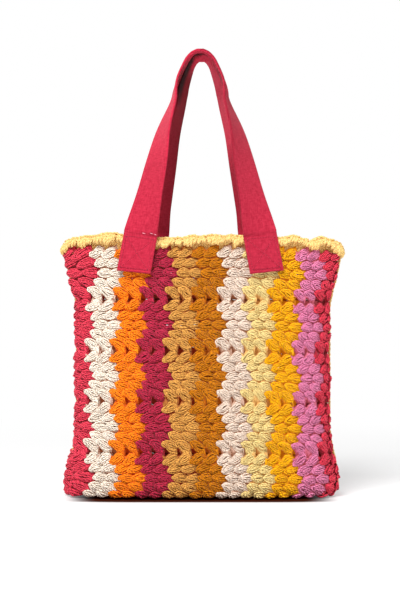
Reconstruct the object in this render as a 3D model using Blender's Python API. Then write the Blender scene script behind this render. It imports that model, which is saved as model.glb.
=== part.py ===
"""A crocheted tote bag: one striped puff-stitch panel folded under the base, seamed at both sides,
finished with a crocheted rim and carried by two canvas straps.

The origin is on the floor under the middle of the bag, +Z is up and the front faces -Y. Metres.
"""

import math

import bmesh
import bpy
from mathutils import Vector

# The crocheted panel
WALL_HEIGHT = 0.352
COLUMNS_PER_STRIPE = 2
PERIODS = 5
PUFFS_PER_PERIOD = 5
PUFF_HEIGHT = 0.0065
BACKING = 0.0055
RIPPLE = 0.006
YARN_GAP = 0.0003

# The body's outline: half widths and half depths of the panel's ground, without the puffs
BASE_HALF_WIDTH = 0.176
FOOT_HALF_WIDTH = 0.189
FOOT_HEIGHT = 0.022
WAIST_HALF_WIDTH = 0.174
WAIST_LOW = 0.10
WAIST_HIGH = 0.262
RIM_HALF_WIDTH = 0.1905
BASE_HALF_DEPTH = 0.043
BELLY_HALF_DEPTH = 0.050
BELLY_HEIGHT = 0.10
RIM_HALF_DEPTH = 0.029
ROUNDNESS = 3.0

# Gaps left by the puffs at each turn of the ripple
GAP_HALF_HEIGHT = 0.0042
GAP_RIGHT = 0.0056
GAP_LEFT = 0.0012

# The side seams
SEAM_WIDTH = 0.0052
SEAM_GAP = 0.0005
SEAM_BACK = 0.004
STRIPE_SHIFT = 0.0012
RIM_SHIFT = 0.006
RIM_SHIFT_FROM = 0.300
HELD_COLUMNS = (2, 18)
BACK_PHASE = 2

# The rim edging
RIM_HEIGHT = 0.0205
RIM_STITCH_BUMP = 0.0016
FOLD_ABOVE_RIM = 0.0005
RIM_BULGE = 0.0058
RIM_STITCHES_PER_COLUMN = 2

# The straps
STRAP_WIDTH = 0.048
STRAP_THICKNESS = 0.0036
STRAP_HEM_THICKNESS = 0.0054
HANDLE_RISE = 0.2569
PATCH_LENGTH = 0.0525
PATCH_SPLAY = 0.0093
STRAP_SPACING_FRONT = 0.0836
STRAP_SPACING_BACK = 0.0745
STRAP_SHIFT_FRONT = (-0.001, -0.001)
STRAP_SHIFT_BACK = (0.004, 0.0012)
PATCH_STEPS = 5
PATCH_SQUARED = 0.45
TOP_ROLL = 0.07
STRAP_FLAT = 0.010
STRAP_GAP = 0.0008
STRAP_STATIONS = 22

STRIPES = (
    ("red_left", (0.86, 0.22, 0.32)),
    ("ivory", (0.94, 0.90, 0.85)),
    ("orange", (1.0, 0.54, 0.06)),
    ("magenta", (0.74, 0.16, 0.34)),
    ("tan", (0.87, 0.62, 0.31)),
    ("mustard", (0.81, 0.51, 0.02)),
    ("cream", (0.92, 0.86, 0.80)),
    ("lemon", (0.95, 0.86, 0.56)),
    ("yellow", (1.0, 0.72, 0.0)),
    ("pink", (0.91, 0.50, 0.70)),
    ("red_right", (0.80, 0.20, 0.30)),
)
# How wide each stripe came out, as shares of one another
STRIPE_WIDTHS = (32.0, 39.5, 36.5, 36.5, 38.5, 37.5, 34.0, 33.5, 38.0, 29.0, 28.0)
EDGING_COLOUR = (0.95, 0.86, 0.55)
CANVAS_COLOUR = (0.86, 0.19, 0.31)

COLUMNS = COLUMNS_PER_STRIPE * len(STRIPES)
WALL_ROWS = PERIODS * PUFFS_PER_PERIOD
ROW_PITCH = WALL_HEIGHT / WALL_ROWS
LAST_ROW = 2 * WALL_ROWS + 1
SECTION_STEPS = 240
SEAM_MARGIN = SEAM_WIDTH / 2 + SEAM_GAP


def clear_scene():
    for thing in list(bpy.data.objects):
        bpy.data.objects.remove(thing, do_unlink=True)


def ease(share):
    share = min(max(share, 0.0), 1.0)
    return share * share * (3 - 2 * share)


def through(guides, at):
    """Eases from guide to guide, each a (place, value)."""
    if at <= guides[0][0]:
        return guides[0][1]
    for (start, low), (end, high) in zip(guides, guides[1:]):
        if at <= end:
            return low + (high - low) * ease((at - start) / (end - start))
    return guides[-1][1]


def rounded_foot(height):
    """0 on the floor, 1 where the quarter-round between base and wall ends."""
    share = min(height / FOOT_HEIGHT, 1.0)
    return math.sqrt(1 - (1 - share) ** 2)


def half_width(height):
    if height < FOOT_HEIGHT:
        return BASE_HALF_WIDTH + (FOOT_HALF_WIDTH - BASE_HALF_WIDTH) * rounded_foot(height)
    guides = (
        (FOOT_HEIGHT, FOOT_HALF_WIDTH),
        (WAIST_LOW, WAIST_HALF_WIDTH),
        (WAIST_HIGH, WAIST_HALF_WIDTH),
        (WALL_HEIGHT, RIM_HALF_WIDTH),
    )
    return through(guides, height)


def half_depth(height):
    guides = ((BELLY_HEIGHT, BELLY_HALF_DEPTH), (WALL_HEIGHT, RIM_HALF_DEPTH))
    turned_in = (BELLY_HALF_DEPTH - BASE_HALF_DEPTH) * (1 - rounded_foot(height))
    return through(guides, height) - turned_in


class Section:
    """A level slice of the body: a superellipse that is read by its length along the yarn ground."""

    def __init__(self, height):
        self.height = height
        self.a = half_width(height)
        self.b = half_depth(height)
        self.lengths = [0.0]
        before = self.at(0.0)
        for step in range(1, SECTION_STEPS + 1):
            here = self.at(math.pi * step / SECTION_STEPS)
            self.lengths.append(self.lengths[-1] + (here - before).length)
            before = here
        self.half_girth = self.lengths[-1]

    def at(self, angle, grow=0.0):
        cosine = math.cos(angle)
        sine = math.sin(angle)
        x = -(self.a + grow) * math.copysign(abs(cosine) ** (2 / ROUNDNESS), cosine)
        y = -(self.b + grow) * math.copysign(abs(sine) ** (2 / ROUNDNESS), sine)
        return Vector((x, y, self.height))

    def angle(self, length):
        """The angle that lies this far from the left end, counted along the front, or along the back if negative."""
        side = 1
        if length < 0:
            length, side = -length, -1
        elif length > self.half_girth:
            length, side = 2 * self.half_girth - length, -1
        step = 1
        while step < SECTION_STEPS and self.lengths[step] < length:
            step += 1
        start, end = self.lengths[step - 1], self.lengths[step]
        share = (length - start) / (end - start)
        return side * math.pi * (step - 1 + share) / SECTION_STEPS

    def length_at(self, x):
        """How far from the left end the front is when it is this far from the middle."""
        cosine = -math.copysign(min(abs(x) / self.a, 1.0) ** (ROUNDNESS / 2), x)
        place = math.acos(cosine) / math.pi * SECTION_STEPS
        step = min(int(place), SECTION_STEPS - 1)
        return self.lengths[step] + (self.lengths[step + 1] - self.lengths[step]) * (place - step)

    def outward(self, angle):
        point = self.at(angle)
        power = ROUNDNESS - 1
        across = math.copysign(abs(point.x / self.a) ** power / self.a, point.x)
        along = math.copysign(abs(point.y / self.b) ** power / self.b, point.y)
        return Vector((across, along, 0)).normalized()


sections = {}


def section(height):
    key = round(height, 6)
    if key not in sections:
        sections[key] = Section(key)
    return sections[key]


def row_height(row):
    """Rows count from the front rim down the wall, under the base and up the back wall."""
    if row > WALL_ROWS:
        row = LAST_ROW - row
    return WALL_HEIGHT - row * ROW_PITCH


def ripple_row(row):
    """Rows counted as the ripple counts them: it turns lower on the front than on the back."""
    return row if row <= WALL_ROWS else LAST_ROW - row + BACK_PHASE


def ripple(row, column):
    """How far the wave of the stitches carries a column sideways, fading out at the seams."""
    fade = min(1.0, column, COLUMNS - column)
    return -RIPPLE * fade * math.cos(2 * math.pi * ripple_row(row) / PUFFS_PER_PERIOD)


def column_share(column):
    """How far across the panel a column's line lies, with the stripes as wide as each came out."""
    whole = min(int(column), COLUMNS - 1)
    edges = [0.0]
    for width in STRIPE_WIDTHS:
        edges += [edges[-1] + width, edges[-1] + 2 * width]
    return (edges[whole] + (edges[whole + 1] - edges[whole]) * (column - whole)) / edges[-1]


def column_x(column):
    """How far from the middle a column's line lies at the waist, as the front is looked at."""
    waist = section((WAIST_LOW + WAIST_HIGH) / 2)
    width = waist.half_girth + 2 * SEAM_BACK - 2 * SEAM_MARGIN
    return waist.at(waist.angle(SEAM_MARGIN - SEAM_BACK + column_share(column) * width)).x + STRIPE_SHIFT


def panel_length(slice_, row, column, aside):
    """Where a column's line lies on the slice's girth. The stripes hang straight down, and what the wider
    foot and rim need is taken up by the outer ones. Both seams lie a little behind the sides."""
    side = 1 if row <= WALL_ROWS else -1
    lean = RIM_SHIFT * ease((slice_.height - RIM_SHIFT_FROM) / (WALL_HEIGHT - RIM_SHIFT_FROM))
    first, last = HELD_COLUMNS
    share = column_share(column)
    if column < first:
        start = SEAM_MARGIN - side * SEAM_BACK
        held = slice_.length_at(column_x(first) + lean)
        along = start + (held - start) * share / column_share(first)
    elif column > last:
        end = slice_.half_girth + side * SEAM_BACK - SEAM_MARGIN
        held = slice_.length_at(column_x(last) + lean)
        along = held + (end - held) * (share - column_share(last)) / (1 - column_share(last))
    else:
        along = slice_.length_at(column_x(column) + lean)
    return side * (along + ripple(row, column) + aside)


def ground(row, column, aside=0.0, inner=False):
    """A point of the panel's ground, on its outer or its inner side."""
    height = row_height(row)
    if inner:
        height = max(height, BACKING)
    slice_ = section(max(height, 0.0))
    angle = slice_.angle(panel_length(slice_, row, column, aside))
    return slice_.at(angle, -BACKING if inner else 0.0)


def ground_beside(row, column, step, aside, inner):
    """The ground a little before or after a row, on the straight run to the next row that has corners."""
    other = row + step
    while inner and not kept_inside(other):
        other += step
    share = GAP_HALF_HEIGHT / (abs(other - row) * ROW_PITCH)
    return ground(row, column, aside, inner).lerp(ground(other, column, aside, inner), share)


def puff_top(row, column, lean):
    """The highest point of the puff between this row and the next, nearer its fat left end."""
    at_row = row + 0.5
    slice_ = section(row_height(at_row))
    angle = slice_.angle(panel_length(slice_, at_row, column + 0.40, 0.0))
    top = slice_.at(angle) + slice_.outward(angle) * PUFF_HEIGHT
    top.z += lean
    return top


def turns_here(row):
    """True on the rows where the ripple turns and the puffs part."""
    down = row if row <= WALL_ROWS else LAST_ROW - row
    return ripple_row(row) % PUFFS_PER_PERIOD == 0 and 0 < down < WALL_ROWS


def kept_inside(row):
    """The inner face needs only the turns of the ripple and the rows beside its other crest."""
    middle = PUFFS_PER_PERIOD // 2
    return ripple_row(row) % PUFFS_PER_PERIOD in (0, middle, PUFFS_PER_PERIOD - middle)


class Stripe:
    """One yarn's stripe of the folded panel, built as one closed body."""

    def __init__(self, first_column):
        self.mesh = bmesh.new()
        self.first = first_column
        self.last = first_column + COLUMNS_PER_STRIPE
        self.corners = {}

    def corner(self, column, row, tag="", inner=False):
        key = (column, row, tag, inner)
        if key not in self.corners:
            aside = {"left": -GAP_LEFT, "right": GAP_RIGHT}.get(tag, 0.0)
            step = {"before": -1, "after": 1}.get(tag, 0)
            if column == self.first and tag != "right":
                aside += YARN_GAP / 2
            if column == self.last:
                aside -= YARN_GAP / 2
            if step:
                point = ground_beside(row, column, step, aside, inner)
            else:
                point = ground(row, column, aside, inner)
            self.corners[key] = self.mesh.verts.new(point)
        return self.corners[key]

    def parted(self, column, row):
        return turns_here(row) and column < self.last

    def leaving(self, column, row, inner):
        return self.corner(column, row, "after" if self.parted(column, row) else "", inner)

    def reaching(self, column, row, inner):
        return self.corner(column, row, "before" if self.parted(column, row) else "", inner)

    def side(self, column, start, end, tag, inner):
        """The corners down one side of a cell, with the gap's near corner where the cell touches a gap."""
        chain = []
        if self.parted(column, start):
            chain.append(self.corner(column, start, tag, inner))
        chain.append(self.leaving(column, start, inner))
        chain.append(self.reaching(column, end, inner))
        if self.parted(column, end):
            chain.append(self.corner(column, end, tag, inner))
        return chain

    def cell(self, column, start, end, inner):
        left = self.side(column, start, end, "right", inner)
        right = self.side(column + 1, start, end, "left", inner)
        return left + right[::-1]

    def face(self, corners):
        self.mesh.faces.new(corners)

    def puff(self, column, row):
        outline = self.cell(column, row, row + 1, False)
        down = row if row < WALL_ROWS else ripple_row(row + 1)
        crest = (PUFFS_PER_PERIOD - 1) / 2
        lean = (down % PUFFS_PER_PERIOD - crest) * PUFF_HEIGHT * 0.2
        top = self.mesh.verts.new(puff_top(row, column, lean))
        for a, b in zip(outline, outline[1:] + outline[:1]):
            self.face((a, b, top))

    def rows_inside(self):
        kept = [row for row in range(LAST_ROW + 1) if kept_inside(row)]
        return list(zip(kept, kept[1:]))

    def edge_strip(self, outer, inner, flip):
        """Closes the edge between the outer corners and the two inner ones."""
        first, last = inner
        half = len(outer) // 2
        fan = [(outer[i], outer[i + 1], first) for i in range(half)]
        fan.append((outer[half], last, first))
        fan += [(outer[i], outer[i + 1], last) for i in range(half, len(outer) - 1)]
        for three in fan:
            self.face(three[::-1] if flip else three)

    def edge(self, column, flip):
        for start, end in self.rows_inside():
            outer = [self.leaving(column, start, False)]
            outer += [self.corner(column, row) for row in range(start + 1, end)]
            outer.append(self.reaching(column, end, False))
            inner = (self.leaving(column, start, True), self.reaching(column, end, True))
            self.edge_strip(outer, inner, flip)
            if self.parted(column, end):
                for a, b in (("before", "right"), ("right", "after")):
                    outer = [self.corner(column, end, a), self.corner(column, end, b)]
                    inner = (self.corner(column, end, a, True), self.corner(column, end, b, True))
                    self.edge_strip(outer, inner, flip)

    def gap(self, column, row):
        ring = ("before", "right", "after", "left")
        for a, b in zip(ring, ring[1:] + ring[:1]):
            outer = [self.corner(column, row, a), self.corner(column, row, b)]
            inner = (self.corner(column, row, a, True), self.corner(column, row, b, True))
            self.edge_strip(outer, inner, True)

    def top_edge(self, row, flip):
        for column in range(self.first, self.last):
            four = [
                self.corner(column, row),
                self.corner(column + 1, row),
                self.corner(column + 1, row, "", True),
                self.corner(column, row, "", True),
            ]
            self.face(four[::-1] if flip else four)

    def build(self):
        for column in range(self.first, self.last):
            for row in range(LAST_ROW):
                if row != WALL_ROWS:
                    self.puff(column, row)
            self.face(self.cell(column, WALL_ROWS, WALL_ROWS + 1, False))
            for start, end in self.rows_inside():
                self.face(self.cell(column, start, end, True)[::-1])
        for column in range(self.first + 1, self.last):
            for row in range(LAST_ROW):
                if turns_here(row):
                    self.gap(column, row)
        self.edge(self.first, True)
        self.edge(self.last, False)
        self.top_edge(0, False)
        self.top_edge(LAST_ROW, True)
        return self.mesh


def material(name, colour, roughness):
    look = bpy.data.materials.new(name)
    look.use_nodes = True
    shader = look.node_tree.nodes["Principled BSDF"]
    shader.inputs["Base Color"].default_value = (*colour, 1)
    shader.inputs["Roughness"].default_value = roughness
    look.diffuse_color = (*colour, 1)
    return look


def place(name, mesh, look):
    bmesh.ops.recalc_face_normals(mesh, faces=mesh.faces)
    data = bpy.data.meshes.new(name)
    mesh.to_mesh(data)
    mesh.free()
    data.materials.append(look)
    made = bpy.data.objects.new(name, data)
    bpy.context.scene.collection.objects.link(made)
    return made


def loft(rings, closed):
    """A closed body through rings of points, joined end to end or capped."""
    mesh = bmesh.new()
    loops = [[mesh.verts.new(point) for point in ring] for ring in rings]
    pairs = list(zip(loops, loops[1:]))
    if closed:
        pairs.append((loops[-1], loops[0]))
    else:
        mesh.faces.new(loops[0][::-1])
        mesh.faces.new(loops[-1])
    for one, two in pairs:
        count = len(one)
        for i in range(count):
            j = (i + 1) % count
            mesh.faces.new((one[i], one[j], two[j], two[i]))
    return mesh


# How high the edging stands, from the left side to the right: (share of the half width, share of the height)
RIM_LINE = (
    (-1.0, 0.44),
    (-0.96, 0.70),
    (-0.84, 0.90),
    (-0.77, 0.94),
    (-0.68, 1.14),
    (-0.62, 1.08),
    (-0.56, 0.92),
    (-0.42, 0.82),
    (-0.16, 0.76),
    (-0.08, 0.97),
    (-0.02, 0.83),
    (0.06, 0.98),
    (0.15, 0.89),
    (0.215, 0.98),
    (0.30, 0.86),
    (0.55, 0.78),
    (0.655, 0.90),
    (0.75, 0.62),
    (0.80, 0.62),
    (0.86, 0.84),
    (0.93, 0.68),
    (1.0, 0.44),
)


def rim_height(share):
    return RIM_HEIGHT * through(RIM_LINE, share)


def rim_edging():
    """A thick crocheted cord that runs round the mouth on top of the stripes."""
    level = section(WALL_HEIGHT)
    stitches = 2 * COLUMNS * RIM_STITCHES_PER_COLUMN
    girth = 2 * level.half_girth
    foot = WALL_HEIGHT + YARN_GAP
    rings = []
    for stitch in range(stitches):
        length = girth * stitch / stitches
        angle = level.angle(length)
        out = level.outward(angle)
        bump = RIM_STITCH_BUMP * (stitch % 2)
        outer = level.at(angle)
        top = foot + rim_height(outer.x / level.a) + bump
        inner = level.at(angle, -BACKING)
        flush = outer * 0.5 + inner * 0.5
        ring = [
            (inner, foot),
            (outer + out * RIM_BULGE * 0.45, foot),
            (outer + out * (RIM_BULGE + bump), foot + (top - foot) * 0.4),
            (flush + out * RIM_BULGE * 0.9, top),
            (flush - out * BACKING * 0.4, top),
        ]
        rings.append([Vector((point.x, point.y, height)) for point, height in ring])
    return loft(rings, True)


def seam_inside(row, right, side):
    """The seam's inner corner, on the same straight runs as the panel's inner edge."""
    above = row
    while not kept_inside(above):
        above -= 1
    below = row
    while not kept_inside(below):
        below += 1
    ends = []
    for kept in (above, below):
        level = section(max(row_height(kept), BACKING))
        middle = level.half_girth + SEAM_BACK if right else -SEAM_BACK
        ends.append(level.at(level.angle(middle + side * SEAM_WIDTH / 2), -BACKING))
    share = (row - above) / (below - above) if below > above else 0.0
    return ends[0].lerp(ends[1], share)


def seam(right):
    """The yarn ladder that closes the panel's two edges, fat and thin by turns."""
    rings = []
    for row in range(WALL_ROWS + 1):
        level = section(row_height(row))
        middle = level.half_girth + SEAM_BACK if right else -SEAM_BACK
        bulge = level.outward(level.angle(middle)) * PUFF_HEIGHT * (0.8 if row % 2 else 0.35)
        crest = level.at(level.angle(middle)) + bulge
        outer_a, outer_b = (level.at(level.angle(middle + side * SEAM_WIDTH / 2)) for side in (-1, 1))
        inner_a, inner_b = (seam_inside(row, right, side) for side in (-1, 1))
        rings.append([outer_a, crest, outer_b, inner_b, inner_a])
    foot = BACKING + YARN_GAP
    above, below = rings[-2:]
    rings[-1] = [a.lerp(b, (a.z - foot) / (a.z - b.z)) for a, b in zip(above, below)]
    return loft(rings, False)


def smooth_route(guides, steps):
    """Points of a smooth curve through the guides (Catmull-Rom), with the ends kept."""
    padded = [guides[0]] + list(guides) + [guides[-1]]
    points = []
    spans = len(guides) - 1
    for step in range(steps + 1):
        place_ = spans * step / steps
        index = min(int(place_), spans - 1)
        t = place_ - index
        before, start, end, after = padded[index : index + 4]
        values = []
        for a, b, c, d in zip(before, start, end, after):
            values.append(
                0.5 * (2 * b + (c - a) * t + (2 * a - 5 * b + 4 * c - d) * t**2 + (3 * b - a - 3 * c + d) * t**3)
            )
        points.append(tuple(values))
    return points


# Each guide of a strap's leg: share of the rise above the fold, share of the spacing on the front strap
# and on the back one, then the twist of the front strap and of the back one in degrees
LEG = (
    (0.0, 1.0, 1.0, 5.0, 5.0),
    (0.019, 0.992, 0.988, 13.0, 13.0),
    (0.129, 0.916, 0.930, 30.0, 30.0),
    (0.240, 0.841, 0.846, 41.0, 41.0),
    (0.403, 0.732, 0.730, 51.0, 50.5),
    (0.570, 0.622, 0.587, 66.0, 66.0),
    (0.726, 0.461, 0.430, 80.0, 76.0),
    (0.800, 0.424, 0.385, 86.0, 75.0),
    (0.854, 0.376, 0.346, 90.0, 75.0),
    (0.936, 0.254, 0.245, 92.0, 80.0),
    (0.966, 0.192, 0.196, 92.0, 82.0),
    (0.987, 0.130, 0.134, 91.0, 85.0),
)


def outside(x, height):
    """How far the wall and the rim stand out at this place, puffs and all."""
    level = section(min(height, WALL_HEIGHT))
    share = min(abs(x) / level.a, 1.0) ** ROUNDNESS
    proud = max(PUFF_HEIGHT, RIM_BULGE + RIM_STITCH_BUMP)
    return level.b * (1 - share) ** (1 / ROUNDNESS) + proud


def roll(rise, back):
    """How much the front strap's near edge dips towards its top, as a slope across it."""
    return 0.0 if back else TOP_ROLL * max(rise, 0.0) ** 6


def roll_lift(rise, back):
    """Keeps the near edge where it is while the strap rolls."""
    return roll(rise, back) * STRAP_WIDTH / 2


def strap_leg(spacing, back):
    """Stations from the patch's lower edge up to the apex: centre, width direction, thickness."""
    fold = WALL_HEIGHT + YARN_GAP + RIM_HEIGHT + FOLD_ABOVE_RIM
    stations = []
    lean = math.radians(4.0)
    start_twist = math.radians(LEG[0][3])
    for step in range(PATCH_STEPS):
        share = step / PATCH_STEPS
        height = fold - PATCH_LENGTH * (1 - share)
        x = spacing + PATCH_SPLAY * (1 - share)
        stand = outside(x, height) + STRAP_GAP + STRAP_HEM_THICKNESS / 2
        twist = lean + (start_twist - lean) * share**2
        stations.append((Vector((-x, -stand, height)), twist, STRAP_HEM_THICKNESS))
    stand_off = outside(spacing, WALL_HEIGHT) + STRAP_GAP + STRAP_HEM_THICKNESS / 2
    lean_in = stand_off - STRAP_WIDTH / 2 * math.sin(start_twist)
    for rise, spread_front, spread_back, twist_front, twist_back in smooth_route(LEG, STRAP_STATIONS):
        turn = math.radians(twist_back if back else twist_front)
        apart = STRAP_WIDTH / 2 * math.sin(turn) + STRAP_GAP / 2
        y = apart + (lean_in - STRAP_GAP / 2) * (1 - rise) ** 2
        height = fold + HANDLE_RISE * rise + roll_lift(rise, back)
        spread = spread_back if back else spread_front
        thickness = STRAP_HEM_THICKNESS if rise == 0 else STRAP_THICKNESS
        stations.append((Vector((-spacing * spread, -y, height)), turn, thickness))
    top = fold + HANDLE_RISE + roll_lift(1.0, back)
    apex = Vector((-STRAP_FLAT / 2, -(STRAP_WIDTH + STRAP_GAP) / 2, top))
    stations.append((apex, math.pi / 2, STRAP_THICKNESS))
    return stations


def strap(spacing, shift_low, shift_high, back):
    """A doubled canvas band: flat on the wall at its ends, turned edge-on over the top."""
    leg = strap_leg(spacing, back)
    other = [(Vector((-c.x, c.y, c.z)), math.pi - turn, thick) for c, turn, thick in reversed(leg)]
    stations = leg + other
    rings = []
    for index, (centre, turn, thickness) in enumerate(stations):
        ahead = stations[min(index + 1, len(stations) - 1)][0]
        behind = stations[max(index - 1, 0)][0]
        along = (ahead - behind).normalized()
        rise = min(max((centre.z - leg[PATCH_STEPS][0].z) / HANDLE_RISE, 0.0), 1.0)
        across = Vector((math.cos(turn), -math.sin(turn), -roll(rise, back)))
        on_patch = min(index, len(stations) - 1 - index) < PATCH_STEPS
        squared = PATCH_SQUARED if on_patch else 1.0
        across = (across - along * across.dot(along) * squared).normalized()
        face = across.cross(along).normalized()
        corners = []
        for side, layer in ((-1, -1), (1, -1), (1, 1), (-1, 1)):
            corners.append(centre + across * side * STRAP_WIDTH / 2 + face * layer * thickness / 2)
        shift = shift_low + (shift_high - shift_low) * rise
        side = -1 if back else 1
        rings.append([Vector((p.x + shift, side * p.y, p.z)) for p in corners])
    return loft(rings, False)


def main():
    clear_scene()
    for number, (name, colour) in enumerate(STRIPES):
        mesh = Stripe(number * COLUMNS_PER_STRIPE).build()
        place("stripe_" + name, mesh, material("cotton_" + name, colour, 0.9))
    edging = material("cotton_pale_yellow", EDGING_COLOUR, 0.9)
    place("rim_edging", rim_edging(), edging)
    place("seam_left", seam(False), edging)
    place("seam_right", seam(True), edging)
    canvas = material("canvas_crimson", CANVAS_COLOUR, 0.85)
    place("strap_front", strap(STRAP_SPACING_FRONT, *STRAP_SHIFT_FRONT, False), canvas)
    place("strap_back", strap(STRAP_SPACING_BACK, *STRAP_SHIFT_BACK, True), canvas)


main()
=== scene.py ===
# %% [markdown]
# # A crocheted tote bag, stitch by stitch
#
# The bag is one long panel of puff stitch in eleven colours. It is folded once under the base, so each
# stripe runs down the front, under the bag and up the back, and a seam closes it at either side. A pale
# yellow edging runs round the mouth, and two crimson canvas straps are sewn to the outside.
#
# The knobbly surface could be faked with bump on a smooth shell, but light has to pass through the
# diamond gaps and the edge of the bag has to look lumpy, so every puff is built from real loops of yarn.
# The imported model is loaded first. It is the frame that everything below has to fit.

import math

import bpy
import mathutils
import numpy as np
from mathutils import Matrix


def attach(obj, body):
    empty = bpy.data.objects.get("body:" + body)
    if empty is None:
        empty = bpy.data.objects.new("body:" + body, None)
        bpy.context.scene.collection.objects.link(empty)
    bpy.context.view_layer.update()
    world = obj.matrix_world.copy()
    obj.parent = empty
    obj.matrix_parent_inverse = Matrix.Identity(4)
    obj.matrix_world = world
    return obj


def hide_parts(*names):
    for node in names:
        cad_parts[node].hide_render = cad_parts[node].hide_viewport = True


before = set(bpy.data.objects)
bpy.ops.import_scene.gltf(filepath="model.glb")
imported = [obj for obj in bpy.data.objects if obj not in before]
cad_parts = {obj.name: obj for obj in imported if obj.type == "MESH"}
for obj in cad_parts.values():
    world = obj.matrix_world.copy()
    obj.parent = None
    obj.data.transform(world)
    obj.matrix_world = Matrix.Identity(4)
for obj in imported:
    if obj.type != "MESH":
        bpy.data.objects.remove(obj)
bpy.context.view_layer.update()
rng = np.random.default_rng(11)

# %% [markdown]
# ## Camera
#
# The picture was taken level with the upper part of the bag, from about two metres, with a long lens.
# A level camera keeps the sides upright without any shift. The lens follows from the height that the
# picture spans at the front of the bag.

# %% Place the camera
MM = 0.001
VIEW_HEIGHT = 0.84
VIEW_DISTANCE = 2.0
FRONT_PLANE = -0.048
CAMERA_ASIDE = -1.4 * MM
CAMERA_HEIGHT = 0.28
SENSOR = 36.0


def into_scene(name, data):
    """An object with this data, put into the scene."""
    made = bpy.data.objects.new(name, data)
    bpy.context.scene.collection.objects.link(made)
    return made


def make_camera():
    """A level camera in front of the bag."""
    data = bpy.data.cameras.new("camera")
    data.sensor_fit = "AUTO"
    data.sensor_width = SENSOR
    data.lens = SENSOR * VIEW_DISTANCE / VIEW_HEIGHT
    camera = into_scene("camera", data)
    camera.location = (CAMERA_ASIDE, FRONT_PLANE - VIEW_DISTANCE, CAMERA_HEIGHT)
    camera.rotation_euler = (math.radians(90), 0, 0)
    bpy.context.scene.camera = camera
    print("lens:", round(data.lens, 1), "mm")


make_camera()

# %% [markdown]
# ## The shape that the panel follows
#
# A stuffed-looking tote is a lofted shell: level slices that are wide and thin at the mouth, fuller lower
# down and rounded in at the foot. Each slice is a superellipse, which is blunter at the ends than an
# ellipse, as thick crochet is where it folds round at the seams. The slices are read by length along the
# yarn, so that every column of stitches keeps its own width however the bag curves.

# %% Slices of the body
WALL = 352 * MM
COLUMNS = 22
BASE_HALF_WIDTH = 182.5 * MM
FOOT_HALF_WIDTH = 192 * MM
FOOT_HEIGHT = 19 * MM
WAIST_HALF_WIDTH = 178.5 * MM
WAIST = (100 * MM, 262 * MM)
RIM_HALF_WIDTH = 194.5 * MM
BODY_SHIFT = 2 * MM
FOOT_SHIFT = -2.4 * MM
FOOT_SHIFT_TO = 75 * MM
BASE_HALF_DEPTH = 43 * MM
BELLY_HALF_DEPTH = 50 * MM
BELLY_HEIGHT = 100 * MM
RIM_HALF_DEPTH = 29 * MM
ROUNDNESS = 3.0
SEAM_MARGIN = 3.1 * MM
SEAM_BACK = 4 * MM
STRIPE_WIDTHS = (34.5, 37, 36.5, 36.5, 37.2, 37, 34, 33, 36.8, 30.7, 29.8)
HELD_COLUMNS = (2, 18)
HANG_SQUEEZE = 0.977
STRIPE_SHIFT = 1.2 * MM
RIM_SHIFT = 6.5 * MM
RIM_SHIFT_FROM = 200 * MM
# How much of that lean each column has
LEAN_LINE = ((0, 1.0), (8, 1.0), (10, 0.3), (12.5, 0.2), (16, 0.9), (22, 0.9))
COLUMN_EDGES = np.concatenate([[0], np.cumsum(np.repeat(STRIPE_WIDTHS, 2))]) / (2 * sum(STRIPE_WIDTHS))


def through(guides, at):
    """Eases from guide to guide, each a (place, value), for an array of places."""
    places = np.array([g[0] for g in guides])
    values = np.array([g[1] for g in guides])
    at = np.clip(at, places[0], places[-1])
    span = np.clip(np.searchsorted(places, at, side="right") - 1, 0, len(places) - 2)
    share = (at - places[span]) / (places[span + 1] - places[span])
    share = share * share * (3 - 2 * share)
    return values[span] + (values[span + 1] - values[span]) * share


def foot_round(height):
    share = np.clip(height / FOOT_HEIGHT, 0, 1)
    return np.sqrt(1 - (1 - share) ** 2)


def half_width(height):
    guides = (
        (FOOT_HEIGHT, FOOT_HALF_WIDTH),
        (WAIST[0], WAIST_HALF_WIDTH),
        (WAIST[1], WAIST_HALF_WIDTH),
        (WALL, RIM_HALF_WIDTH),
    )
    return through(guides, height) - (FOOT_HALF_WIDTH - BASE_HALF_WIDTH) * (1 - foot_round(height))


def half_depth(height):
    guides = ((BELLY_HEIGHT, BELLY_HALF_DEPTH), (WALL, RIM_HALF_DEPTH))
    return through(guides, height) - (BELLY_HALF_DEPTH - BASE_HALF_DEPTH) * (1 - foot_round(height))


for level in (0.0, sum(WAIST) / 2, WALL):
    size = [round(2 * float(half(level)), 3) for half in (half_width, half_depth)]
    print("slice at", round(level, 3), "m, width and depth:", size)

# %% [markdown]
# Crochet is measured along the yarn, as a tape measure laid round the bag would do it. A superellipse
# drawn by its angle has uneven steps, so each slice is drawn finely first and then read again at even
# distances, starting at its left end and going over the front.

# %% Space points evenly round a slice
FLOOR_LAYER = 7.0 * MM
ROUND_STEPS = 480
SECTION_STEPS = 4000


def even_slice(height, inset):
    """Evenly spaced points round one slice, drawn in by the inset, and its girth."""
    angle = np.linspace(-math.pi, math.pi, SECTION_STEPS + 1)
    power = 2 / ROUNDNESS
    unit_x = -np.sign(np.cos(angle)) * np.abs(np.cos(angle)) ** power
    unit_y = -np.sign(np.sin(angle)) * np.abs(np.sin(angle)) ** power
    foot_shift = through(((0, FOOT_SHIFT), (FOOT_SHIFT_TO, 0.0)), height)
    x = (half_width(height) - inset) * unit_x + BODY_SHIFT + foot_shift
    y = (half_depth(height) - inset) * unit_y
    run = np.concatenate([[0], np.cumsum(np.hypot(np.diff(x), np.diff(y)))])
    run -= run[len(run) // 2]
    girth = run[-1] - run[0]
    wanted = np.arange(ROUND_STEPS) / ROUND_STEPS
    wanted = np.where(wanted > 0.5, wanted - 1, wanted) * girth
    points = (np.interp(wanted, run, x), np.interp(wanted, run, y), np.full(ROUND_STEPS, height))
    return np.stack(points, 1), girth


print("girth at the waist:", round(float(even_slice(sum(WAIST) / 2, 0.0)[1]), 3), "m")

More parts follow.
